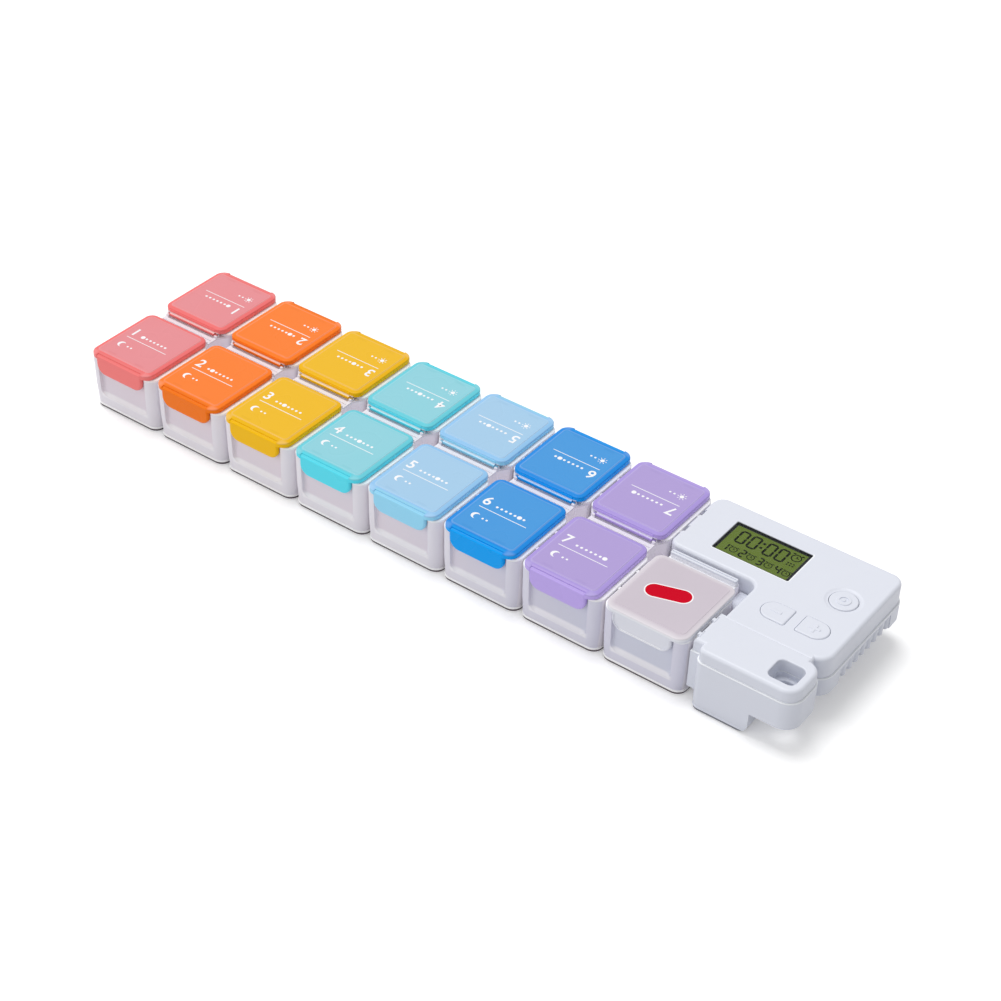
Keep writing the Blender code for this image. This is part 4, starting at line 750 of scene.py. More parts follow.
def tongue(trays, x_face, y):
    """Tongue on a tray's right face, ending a little below the rim."""
    corners, top = tongue_corners(x_face, y, trays, 0.0, -0.4 * MM, HEAD), trays.rim_height - 0.6 * MM
    return upright("tongue", corners, [(0, 1.5 * MM), (0, top - 0.12 * MM), (0.1 * MM, top)])


def riser(trays, x_face, y, top):
    """Upper end of a tongue, flush with the timer's top in its slot."""
    corners = tongue_corners(x_face, y, trays, 0.0, 0.7 * MM, HEAD)
    return upright("riser", corners, [(0, 20 * MM), (0, top - 0.1 * MM), (0.1 * MM, top)])


def slot(trays, x_face, y, z_low, z_high, gap=0.3 * MM, head=(0.7 * MM, 1.8 * MM)):
    """Cutter for the slot that takes a tongue."""
    return upright("slot", tongue_corners(x_face, y, trays, gap, -PAST, head), [(0, z_low), (0, z_high)])


def snug_slot(trays, x_face, y, z_low, z_high):
    """Upper end of a slot, close round the tongue's riser."""
    return slot(trays, x_face, y, z_low, z_high, 0.12 * MM, (0.88 * MM, 1.62 * MM))


def add_hinge_seat(body, trays, lids, side):
    """Channel for the barrel, with an open-topped ear at each end for the lid's pins."""
    middle, reach, seat_y = trays.width / 2, 11.5 * MM, side * lids.hinge_y
    y_low, y_high = sorted((side * 1.8 * MM, side * STRIP_HALF))
    cut(body, box("channel", middle - reach, middle + reach, y_low, y_high,
                  20.8 * MM, trays.rim_height + PAST))
    low, high = trays.strip_height - 0.4 * MM, lids.hinge_height + 0.15 * MM
    for end in (-1, 1):
        x_low, x_high = sorted((middle + end * reach, middle + end * (reach + 1.3 * MM)))
        ear = rectangle(x_low, x_high, seat_y - 1.0 * MM, seat_y + 1.0 * MM, 0.3 * MM)
        fuse(body, upright("ear", ear, [(0, low), (0, high - 0.15 * MM), (0.15 * MM, high)], 3))
        cut(body, lying("pin seat", seat_y, lids.hinge_height, 0.42 * MM,
                        x_low - 0.3 * MM, x_high + 0.3 * MM))


def strip_lines(body, trays, places):
    """Fine grooves along the strip between the rows, at each (y, height)."""
    for y, top in places:
        line = rectangle(3.8 * MM, trays.width - 3.8 * MM, y - 0.2 * MM, y + 0.2 * MM, 0)
        cut(body, upright("strip line", line, [(0, top - 0.3 * MM)] + flare(top, 0.12 * MM)))


def tray_shape(trays, lids, back_row):
    """A day tray, or without its back row the spare tray, which reaches into the timer's rail."""
    rim, strip = trays.rim_height, trays.strip_height
    levels = lipped_foot() + [(0.3 * MM, 2.2 * MM), (0, 9 * MM)] + crown(rim, trays.rim_round)
    body = upright("tray", tray_corners(trays, back_row), levels)
    for vertex in body.data.vertices:
        vertex.co.y *= 1 - trays.draft / trays.half_depth * (1 - vertex.co.z / rim)
    cut(body, box("strip", -PAST, trays.width + PAST, -STRIP_HALF, STRIP_HALF, strip, rim + PAST))
    sides = (-1, 1) if back_row else (-1,)
    for side in sides:
        cut(body, pocket(trays, side), recess(trays, lids, side))
        add_hinge_seat(body, trays, lids, side)
    if back_row:
        strip_lines(body, trays, [(0.0, strip)])
    else:
        ridge_top = 23.5 * MM
        ridge = rectangle(3.4 * MM, trays.width - 3.4 * MM, 0.4 * MM, 2.35 * MM, 0.4 * MM)
        fuse(body, upright("ridge", ridge, [(0, 20.8 * MM)] + crown(ridge_top, 0.2 * MM, 3), 3))
        strip_lines(body, trays, [(-1.5 * MM, strip), (-0.4 * MM, strip), (1.4 * MM, ridge_top)])
    core_back = STRIP_HALF if back_row else 1.2 * MM
    cut(body, box("core", 4.6 * MM, trays.width - 4.6 * MM, -STRIP_HALF, core_back, -PAST, 18.6 * MM))
    left = [side * y for y in LEFT_TONGUES for side in sides]
    for y in left:
        cut(body, slot(trays, 0, y, -PAST, rim + PAST))
    for y in left if back_row else RAIL_TONGUES:
        fuse(body, tongue(trays, trays.width, y))
        if not back_row:
            fuse(body, riser(trays, trays.width, y, 24.4 * MM))
    return smooth(body)


class PILLBOX_OT_trays(bpy.types.Operator):
    """Shape the seven day trays and the spare tray"""
    bl_idname = "pillbox.trays"
    bl_label = "Trays"

    def execute(self, context):
        scene = context.scene
        trays, lids, tones = scene.pill_box_trays, scene.pill_box_lids, scene.pill_box_tones
        frosted = frosted_material(tones, trays)
        shape = tray_shape(trays, lids, True)
        for day in range(1, DAYS + 1):
            node = f"day_tray_{day}"
            place = Matrix.Translation((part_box(node)[0][0], 0, 0))
            piece(shape, f"frosted_tray_{day}", place, frosted, node, "frosted_tray", (node,))
        bpy.data.objects.remove(shape)
        place = Matrix.Translation((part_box("spare_tray")[0][0], 0, 0))
        single(tray_shape(trays, lids, False), "frosted_spare_tray", place, frosted, "spare_tray",
               "frosted_tray", ("spare_tray",))
        return {"FINISHED"}


# Lids

def lid_plate(lids, extra):
    """Plate and skirt in one: upright sides, a rounded edge, a sloping band and a raised panel."""
    half, low_z, top = lids.width / 2, lids.skirt_bottom, lids.top
    right = half + extra
    corners = [(-half, -lids.outer_y, lids.corner), (right, -lids.outer_y, lids.corner),
               (right, -lids.inner_y, lids.hinge_corner), (-half, -lids.inner_y, lids.hinge_corner)]
    levels = [(0.15 * MM, low_z), (0, low_z + 0.15 * MM)] + crown(top - lids.band_drop, 0.45 * MM)
    body = upright("lid", corners, levels + [(1.9 * MM, top - 0.14 * MM)], 10)
    if not extra:
        notch = lids.tab_width / 2 - 0.4 * MM
        cut(body, box("tab notch", -notch, notch, -lids.outer_y - PAST, -lids.outer_y + 1.05 * MM,
                      low_z - PAST, top + PAST))
    panel = rectangle(-half + lids.band, right - lids.band, -lids.outer_y + lids.tab_band,
                      -lids.inner_y - lids.band, PANEL_CORNER)
    levels = [(0, top - 0.6 * MM), (0, top - 0.13 * MM), (0.12 * MM, top - 0.03 * MM), (0.3 * MM, top)]
    return fuse(body, upright("panel", panel, levels, 8))


def lid_hollow(lids):
    """Cutter for the shallow space under a lid, between its skirts."""
    half, low_z, plate_z = lids.width / 2 - 1.6 * MM, lids.skirt_bottom, lids.top - lids.plate
    corners = rectangle(-half, half, -lids.outer_y + 2.1 * MM, -lids.inner_y - 1.6 * MM, 2.0 * MM)
    return upright("hollow", corners, [(0, low_z - PAST), (0, plate_z - 0.3 * MM), (0.3 * MM, plate_z)])


def lid_tab(lids, dished):
    """Finger tab: a rounded pillow with full lower corners, or dished inside a fine rim."""
    half, bottom, top = lids.tab_width / 2, lids.top - lids.plate - lids.tab_drop, lids.top - 0.55 * MM
    corners = [(-half, bottom, lids.tab_corner), (half, bottom, lids.tab_corner),
               (half, top, 0.6 * MM), (-half, top, 0.6 * MM)]
    outer_y, inner_y = lids.outer_y, lids.outer_y - 1.7 * MM
    levels = [(0.25 * MM, inner_y), (0, inner_y + 0.25 * MM)] + crown(outer_y, 0.8 * MM)
    tab = sideways("tab", corners, levels)
    if dished:
        half, bottom = half - 0.75 * MM, bottom + 0.75 * MM
        dish = [(-half, bottom, 3.4 * MM), (half, bottom, 3.4 * MM), (half, lids.top, 0), (-half, lids.top, 0)]
        cut(tab, sideways("tab dish", dish, [
            (0.15 * MM, outer_y - 0.4 * MM), (0, outer_y - 0.3 * MM), (0, outer_y + PAST)]))
    return tab


def lid_shape(lids, extra=0.0):
    """A lid; the spare one is wider on its right, towards the timer."""
    body = lid_plate(lids, extra)
    cut(body, lid_hollow(lids))
    fuse(body, lid_tab(lids, extra > 0))
    reach, low_z, plate_z = 11.2 * MM, lids.skirt_bottom + 0.15 * MM, lids.top - lids.plate
    pin_reach = reach + 1.2 * MM
    fuse(body, box("flange", -reach, reach, -lids.inner_y - 0.9 * MM, -lids.hinge_y,
                   low_z, plate_z + 0.2 * MM))
    fuse(body, lying("barrel", -lids.hinge_y, lids.hinge_height, lids.barrel, -reach, reach))
    fuse(body, lying("pins", -lids.hinge_y, lids.hinge_height, 0.3 * MM, -pin_reach, pin_reach))
    rib_half = 2.15 * MM
    for middle in (-LID_RIB_X, LID_RIB_X):
        rib = rectangle(middle - rib_half, middle + rib_half, -32.7 * MM, -31.9 * MM, 0.2 * MM)
        levels = [(0.1 * MM, low_z - 1.5 * MM), (0, low_z - 1.3 * MM), (0, plate_z + 0.4 * MM)]
        fuse(body, upright("rib", rib, levels, 3))
    return smooth(body, 28)


def lid_place(node, back):
    """Turn and shift that take the lid's shape to one node."""
    low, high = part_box(node)
    shift = Matrix.Translation(((low[0] + high[0]) / 2, 0, 0))
    return shift @ Matrix.Rotation(math.pi, 4, "Z") if back else shift


class PILLBOX_OT_lids(bpy.types.Operator):
    """Shape the fourteen day lids and the spare lid"""
    bl_idname = "pillbox.lids"
    bl_label = "Lids"

    def execute(self, context):
        scene = context.scene
        trays, lids, tones = scene.pill_box_trays, scene.pill_box_lids, scene.pill_box_tones
        shape = lid_shape(lids)
        for day, (tone, *shades) in enumerate(LID_TONES, 1):
            panel, rim, deep = [linear(shade) for shade in shades]
            plastic = lid_material(f"{tone}_lid_plastic", panel, rim, deep, trays, lids)
            for row in ROWS:
                node = f"{row}_lid_{day}"
                piece(shape, f"{tone}_lid_{row}_{day}", lid_place(node, row == "back"), plastic, node,
                      f"lid_{tone}", (node,))
        bpy.data.objects.remove(shape)
        single(lid_shape(lids, lids.spare_extra), "milky_lid_spare", lid_place("spare_lid", False),
               milky_material(tones, trays, lids), "spare_lid", "lid_milky", ("spare_lid",))
        return {"FINISHED"}


# Print on the lids

def flat_text(text, height, x, y, z):
    """Thin raised lettering for plain numbers, from the lower left corner."""
    curve = bpy.data.curves.new("numeral", "FONT")
    curve.body = text
    curve.size = height / 0.73
    curve.extrude = FILM / 2
    curve.offset = 0.1 * MM
    item = new_object("numeral", curve)
    mesh = evaluated(item)
    bpy.data.objects.remove(item)
    mesh.transform(Matrix.Translation((x, y, z + FILM / 2)))
    return new_object("numeral", mesh)


def crescent(centre, radius, z):
    """Plain crescent for the evening row."""
    disc = peg("crescent", centre, radius, z, z + FILM, 40)
    bite = (centre[0] + radius * 0.5, centre[1] - radius * 0.1)
    return cut(disc, peg("bite", bite, radius * 0.85, z - PAST, z + PAST, 40))


def sun(centre, z):
    """Plain disc and eight rays for the morning row."""
    yield peg("sun", centre, 0.8 * MM, z, z + FILM, 20)
    for turn in range(8):
        ray = box("ray", 1.15 * MM, 1.75 * MM, -0.13 * MM, 0.13 * MM, z, z + FILM)
        spin = Matrix.Rotation(math.pi / 4 * turn, 4, "Z")
        ray.data.transform(Matrix.Translation((*centre, 0)) @ spin)
        yield ray


def row_tree():
    """Nodes for a row of upright round pieces along X or Y, with one of them larger."""
    tree = bpy.data.node_groups.new("round_row", "GeometryNodeTree")
    tree.interface.new_socket("Geometry", in_out="OUTPUT", socket_type="NodeSocketGeometry")
    for name, kind in (("Count", "Int"), ("Step X", "Float"), ("Step Y", "Float"), ("Radius", "Float"),
                       ("Height", "Float"), ("Sides", "Int"), ("Chosen", "Int"), ("Growth", "Float"),
                       ("Material", "Material")):
        tree.interface.new_socket(name, in_out="INPUT", socket_type=f"NodeSocket{kind}")
    group_in, group_out, line, step, round_piece, index, match, size, spread, real, paint = (
        tree.nodes.new(kind) for kind in (
            "NodeGroupInput", "NodeGroupOutput", "GeometryNodeMeshLine", "ShaderNodeCombineXYZ",
            "GeometryNodeMeshCylinder", "GeometryNodeInputIndex", "FunctionNodeCompare", "GeometryNodeSwitch",
            "GeometryNodeInstanceOnPoints", "GeometryNodeRealizeInstances", "GeometryNodeSetMaterial"))
    match.data_type, match.operation = "INT", "EQUAL"
    size.input_type = "FLOAT"
    size.inputs["False"].default_value = 1.0
    for start, output, end, socket in (
        (group_in, "Count", line, "Count"), (group_in, "Step X", step, "X"), (group_in, "Step Y", step, "Y"),
        (step, 0, line, "Offset"), (group_in, "Radius", round_piece, "Radius"),
        (group_in, "Height", round_piece, "Depth"), (group_in, "Sides", round_piece, "Vertices"),
        (index, 0, match, 2), (group_in, "Chosen", match, 3), (match, 0, size, "Switch"),
        (group_in, "Growth", size, "True"), (line, "Mesh", spread, "Points"),
        (round_piece, "Mesh", spread, "Instance"), (size, 0, spread, "Scale"),
        (spread, "Instances", real, "Geometry"), (real, "Geometry", paint, "Geometry"),
        (group_in, "Material", paint, "Material"), (paint, "Geometry", group_out, "Geometry"),
    ):
        tree.links.new(start.outputs[output], end.inputs[socket])
    return tree


def grown(tree, name, **values):
    """Plain mesh object made by a node tree with these inputs."""
    item = new_object(name, bpy.data.meshes.new(name))
    modifier = item.modifiers.new(name, "NODES")
    modifier.node_group = tree
    for socket in tree.interface.items_tree:
        key = socket.name.replace(" ", "_")
        if socket.in_out == "INPUT" and key in values:
            modifier[socket.identifier] = values[key]
    return apply_modifiers(item)


def join(name, items):
    """One object out of several loose meshes."""
    work = bmesh.new()
    for item in items:
        work.from_mesh(item.data)
        bpy.data.objects.remove(item)
    mesh = bpy.data.meshes.new(name)
    work.to_mesh(mesh)
    work.free()
    return new_object(name, mesh)


def lid_print(day, row, trays, lids, ink, tree):
    """Numeral, printed line, the week's seven dots and a sun or moon, from a front lid's middle."""
    z, left, line_y = lids.top, -trays.width / 2 + 5.4 * MM, -21.0 * MM
    line_x, line_half, sign_y = left + 0.4 * MM, 0.14 * MM, line_y - 5.0 * MM
    dots = grown(tree, "dots", Count=DAYS, Step_X=1.85 * MM, Step_Y=0.0, Radius=0.5 * MM, Height=FILM,
                 Sides=16, Chosen=day - 1, Growth=1.8, Material=ink)
    dots.data.transform(Matrix.Translation((left + 5.8 * MM, line_y + 3.0 * MM, z + FILM / 2)))
    marks = [
        flat_text(str(day), lids.numeral, left - 0.3 * MM, line_y + 1.9 * MM, z),
        box("line", line_x, line_x + lids.line, line_y - line_half, line_y + line_half, z, z + FILM),
        dots,
        *(peg("dot", (left + x * MM, sign_y), 0.42 * MM, z, z + FILM, 16) for x in (5.6, 7.3)),
    ]
    sign = (left + 2.6 * MM, sign_y)
    marks += [crescent(sign, 1.6 * MM, z)] if row == "front" else sun(sign, z)
    return join("print", marks)


class PILLBOX_OT_prints(bpy.types.Operator):
    """Print the numerals, lines and small signs on the lids"""
    bl_idname = "pillbox.prints"
    bl_label = "Print on the Lids"

    def execute(self, context):
        scene = context.scene
        trays, lids, tones = scene.pill_box_trays, scene.pill_box_lids, scene.pill_box_tones
        ink = plain("white_ink", tones.ink[:], 0.5, grain=0.05)
        tree = row_tree()
        for day, (tone, *_) in enumerate(LID_TONES, 1):
            for row in ROWS:
                node = f"{row}_lid_{day}"
                marks = lid_print(day, row, trays, lids, ink, tree)
                single(marks, f"print_{row}_{day}", lid_place(node, row == "back"), ink, node, f"lid_{tone}")
        red = plain("red_ink", tones.red[:], 0.45, grain=0.05, Specular_IOR_Level=0.03)
        white = plain("white_mark_edge", tones.ink[:], 0.5, grain=0.05)
        place = Matrix.Translation((-0.6 * MM, -19.6 * MM, 0)) @ Matrix.Rotation(math.radians(18), 4, "Z")
        for name, inset, thickness, paint in (
            ("edge", 0.0, 0.02 * MM, white), ("capsule", 0.45 * MM, 0.04 * MM, red),
        ):
            half_l, half_w = 8.2 * MM - inset, 3.6 * MM - inset
            shape = upright(name, rectangle(-half_l, half_l, -half_w, half_w, half_w * 0.999),
                            [(0, lids.top), (0, lids.top + thickness)], 16)
            shape.data.transform(place)
            single(shape, f"spare_lid_{name}", lid_place("spare_lid", False), paint, "spare_lid", "lid_milky")
        return {"FINISHED"}


# Timer case

def timer_corners(timer):
    """Plan of the timer: the body, the block in front of it and the rail that holds the spare tray."""
    right, back, front, corner = timer.length, timer.half_depth, -timer.half_depth, timer.front_corner
    notch = right - 4.42 * MM
    return [
        (BLOCK_LEFT, front, 3 * MM), (right, front, corner), (right, BLOCK_BACK, corner),
        (notch, BLOCK_BACK, 0), (notch, BODY_FRONT, 0), (right, BODY_FRONT, corner),
        (right, back, timer.back_corner), (0, back, timer.back_corner), (0, ARM_FRONT, 4 * MM),
        (NECK_LEFT, ARM_FRONT, 3 * MM), (NECK_LEFT, RAIL_BACK, 0), (RAIL_LEFT, RAIL_BACK, 0),
        (RAIL_LEFT, RAIL_FRONT, 0), (BLOCK_LEFT, RAIL_FRONT, 0),
    ]


def inside_corners(timer):
    """Plan of the hollow in the body and the arm."""
    wall = timer.wall
    left, back, right = 2.9 * MM, timer.half_depth - wall, timer.length - wall
    neck, front, arm_front = NECK_LEFT + wall, BODY_FRONT + wall, ARM_FRONT + wall
    return [(neck, front, 0), (right, front, timer.front_corner - wall), (right, back, 0), (left, back, 0),
            (left, arm_front, 0), (neck, arm_front, 3 * MM + wall)]


def well_corners(timer):
    """Plan of the hollow in the block, left of the key ring hole."""
    wall = timer.wall
    right = min(timer.length - KEY_HOLE_X - 4.65 * MM - wall, FEET_END - wall)
    return rectangle(BLOCK_LEFT + wall, right, -timer.half_depth + wall, BLOCK_BACK - wall, 1.2 * MM)


def key_hole_corners(timer, drawn_in=0.0, radius=2.2 * MM):
    """Plan of the key ring hole, or drawn in of its smaller lower part."""
    x, y = timer.length - KEY_HOLE_X, -timer.half_depth + 8.65 * MM
    half_x, half_y = 4.9 * MM - drawn_in, 4.7 * MM - drawn_in
    return rectangle(x - half_x, x + half_x, y - half_y, y + half_y, radius)


def screw_places(timer):
    right, back, front = timer.length - 5.02 * MM, timer.half_depth - 5.5 * MM, -timer.half_depth + 5.7 * MM
    return ((42.0 * MM, 2.5 * MM), (right, back), (right, -11.0 * MM), (41.2 * MM, front))


def seam_at(timer, place):
    """Height of the seam at a place in the plan, which is higher on the block."""
    return timer.block_seam if place[1] < BLOCK_BACK else timer.body_seam


def case_slots(trays, z_low, z_high):
    """Cutters for the slots that take the last day tray's tongues and the spare tray's."""
    for y in LEFT_TONGUES:
        yield slot(trays, 0, y, z_low, z_high)
    for y in RAIL_TONGUES:
        yield slot(trays, trays.pitch, y, z_low, min(z_high, 22.3 * MM))
        yield snug_slot(trays, trays.pitch, y, 22 * MM, z_high)


def button_corners(centre, rounded_side):
    """D-shaped button outline, round at one end."""
    (x, y), half_w, half_d = centre, 5.2 * MM, 4.5 * MM
    left, right = (half_d * 0.98, 0.8 * MM) if rounded_side < 0 else (0.8 * MM, half_d * 0.98)
    return [(x - half_w, y - half_d, left), (x + half_w, y - half_d, right),
            (x + half_w, y + half_d, right), (x - half_w, y + half_d, left)]


def node_centre(node):
    """Middle of a node in the timer's own plan."""
    low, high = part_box(node)
    return ((low[0] + high[0]) / 2 - TIMER_LEFT, (low[1] + high[1]) / 2)


def window_corners():
    """Plan of the opening over the display."""
    (x, y), (half_x, half_y, corner) = node_centre("display_panel"), WINDOW
    return rectangle(x - half_x, x + half_x, y - half_y, y + half_y, corner)


def top_shell(timer, trays):
    """Upper half of the case, a little smaller than the lower one, with its openings and screw bosses."""
    seam, gap, high, step = timer.body_seam, timer.seam_gap, timer.height, timer.step
    ceiling, past_top = high - timer.wall, high + PAST
    levels = [(step + 0.12 * MM, seam + gap), (step, seam + gap + 0.12 * MM)]
    levels += [(step + inset, z) for inset, z in crown(high, timer.top_round, 7)]
    body = upright("top", timer_corners(timer), levels)
    cut(body, box("block side", -PAST, timer.length + PAST, -timer.half_depth - PAST, SPLIT,
                  0, timer.block_seam + gap))  # The block's seam is higher than the body's
    cut(body, upright("inside", inside_corners(timer), [(0, 0), (0, ceiling)]))
    cut(body, upright("well", well_corners(timer), [(0, 0), (0, ceiling)]))
    cut(body, upright("key hole", key_hole_corners(timer), [(0, 0)] + flare(high, 0.45 * MM)))
    cut(body, *case_slots(trays, 0, past_top))
    groove = rectangle(36.0 * MM, timer.length - 4.2 * MM, SPLIT - 0.12 * MM, SPLIT + 0.12 * MM, 0)
    cut(body, upright("groove", groove, [
        (0.04 * MM, high - 0.14 * MM), (0, high - 0.1 * MM), (-0.3 * MM, high), (-0.35 * MM, past_top)]))
    low = [(0, ceiling - PAST)]
    cut(body, upright("window", window_corners(), low + flare(high, 0.22 * MM)))
    for node, side in D_BUTTONS:
        cut(body, upright(node, button_corners(node_centre(node), side), low + flare(high, 0.2 * MM)))
    centre = node_centre("round_button")
    dish = [(inset * MM, high - depth * MM) for inset, depth in (
        (1.2, 0.3), (0.8, 0.26), (0.35, 0.12), (0.05, 0.02), (-0.15, 0))]
    cut(body, cylinder("dish", centre, 6.5 * MM, dish + [(-0.2 * MM, past_top)], 64))
    cut(body, cylinder("round", centre, ROUND_BUTTON, low + flare(high - 0.3 * MM, 0.12 * MM), 48))
    for place in screw_places(timer):
        base = seam_at(timer, place) + gap
        fuse(body, peg("boss", place, 1.7 * MM, base, ceiling + 0.4 * MM))
        cut(body, peg("thread", place, 0.85 * MM, base - PAST, base + 3.2 * MM))
    return smooth(body)


def underside(timer, y_low, y_high, ceiling):
    """Cutter that lifts the right-hand underside, past a rounded foot."""
    left, radius, far = 53.6 * MM, 4 * MM, timer.length + 2 * MM
    ring = [(left, -PAST), (far, -PAST), (far, ceiling), (left + radius, ceiling)]
    ring += [(left + radius * math.sin(a), radius * (1 - math.cos(a))) for a in reversed(quarter_turn(8))]
    return loft("underside", [[(x, -level, z) for x, z in ring] for level in (-y_high, -y_low)])


def bottom_shell(timer, trays):
    """Lower half of the case, with the battery bay, the board's posts and the screws' columns."""
    body_seam, block_seam, deck, floor = timer.body_seam, timer.block_seam, 14.6 * MM, 1.8 * MM
    far_x, far_y, past_top = timer.length + PAST, timer.half_depth + PAST, block_seam + PAST
    levels = lipped_foot() + [(0.2 * MM, 2.0 * MM), (0, 4.0 * MM)]
    body = upright("bottom", timer_corners(timer), levels + crown(block_seam, 0.18 * MM, 3))
    cut(body, box("upper body", -PAST, far_x, BLOCK_BACK, far_y, body_seam - PAST, past_top))
    fuse(body, upright("body", timer_corners(timer), levels + crown(body_seam, 0.18 * MM, 3)))
    cut(body, box("rail foot", 32 * MM, BLOCK_LEFT, -34 * MM, -17 * MM, -PAST, 4.7 * MM))
    cut(body, underside(timer, -far_y, SPLIT, timer.block_underside))
    cut(body, underside(timer, SPLIT, far_y, timer.body_underside))
    grip = (-7.0 * MM, 27.0 * MM, timer.body_underside - PAST)
    cut(body, box("grip", FEET_END, far_x, *grip, timer.body_underside + 1.8 * MM))
    cut(body, box("side grip", timer.length - 0.9 * MM, far_x, *grip, body_seam - 1.0 * MM))
    cut(body, upright("inside", inside_corners(timer), [(0, deck), (0, past_top)]))
    cut(body, upright("well", well_corners(timer), [(0, floor), (0, past_top)]))
    cut(body, box("column well", 36.4 * MM, 53.6 * MM, RAIL_BACK, ARM_FRONT, floor, deck + 0.4 * MM))
    shelf = 17.8 * MM
    cut(body, upright("key hole", key_hole_corners(timer, 1.3 * MM, 3.3 * MM), [(0, -PAST)] +
                      flare(shelf, 0.5 * MM)))
    cut(body, upright("key shelf", key_hole_corners(timer), [(0, shelf), (0, past_top)]))
    cut(body, *case_slots(trays, -PAST, past_top))
    left, right, front, back = 5.1 * MM, 53.5 * MM, 8.2 * MM, 31.3 * MM
    rail, cover_top = 0.8 * MM, 1.9 * MM
    cut(body, box("bay", left, right, front, back, -PAST, 13.2 * MM),
        box("door", left, right, front, far_y, -PAST, cover_top),
        box("rails", left - rail, right + rail, front, far_y, rail, cover_top))
    for x, y in ((62.0, 26.3), (62.0, -10.8), (6.6, 26.3), (6.6, 11.8)):
        fuse(body, peg("post", (x * MM, y * MM), 1.6 * MM, deck - 0.4 * MM, deck + 1.5 * MM))
    for place in screw_places(timer):
        seam, base = seam_at(timer, place), 0 if place[0] < FEET_END else timer.body_underside
        fuse(body, peg("post", place, 2.3 * MM, base, seam))
        cut(body, peg("head hole", place, 1.8 * MM, base - PAST, seam - 3 * MM),
            peg("hole", place, 0.9 * MM, seam - 3.4 * MM, seam + PAST))
    stop = [(x * MM, y * MM, 0) for x, y in (
        (29.4, -2.3), (32.6, -6.7), (35.0, -6.7), (35.0, 3.2), (29.4, 3.2))]
    fuse(body, upright("stop", stop, [(0, 13 * MM), (0, 18.0 * MM), (0.2 * MM, 18.2 * MM)]))
    return smooth(body)


class PILLBOX_OT_timer_case(bpy.types.Operator):
    """Shape the timer's two shells and the grip ribs under its right edge"""
    bl_idname = "pillbox.timer_case"
    bl_label = "Timer Case"

    def execute(self, context):
        scene = context.scene
        timer, trays, tones = scene.pill_box_timer, scene.pill_box_trays, scene.pill_box_tones
        white = case_material(tones, timer)
        place = Matrix.Translation((TIMER_LEFT, 0, 0))
        single(top_shell(timer, trays), "top_shell", place, white, "timer", "white_case", ("timer_top_case",))
        single(bottom_shell(timer, trays), "bottom_shell", place, white, "timer", "white_case",
               ("timer_bottom_case",))
        ribs = grown(row_tree(), "ribs", Count=timer.rib_count, Step_X=0.0, Step_Y=timer.rib_pitch,
                     Radius=timer.rib_radius, Height=5.4 * MM, Sides=24, Chosen=-1, Growth=1.0, Material=white)
        start = 10.0 * MM - timer.rib_pitch * (timer.rib_count - 1) / 2
        ribs.data.transform(Matrix.Translation(
            (timer.length - 1.7 * MM, start, timer.body_underside + 3.1 * MM)))
        single(smooth(ribs), "grip_ribs", place, white, "timer", "white_case")
        return {"FINISHED"}


# Buttons and battery cover

def raised_mark(corners, low, high):
    """Small raised sign on a D-shaped button."""
    return upright("mark", corners, [(0, low), (0, high - 0.15 * MM), (0.15 * MM, high)], 4)


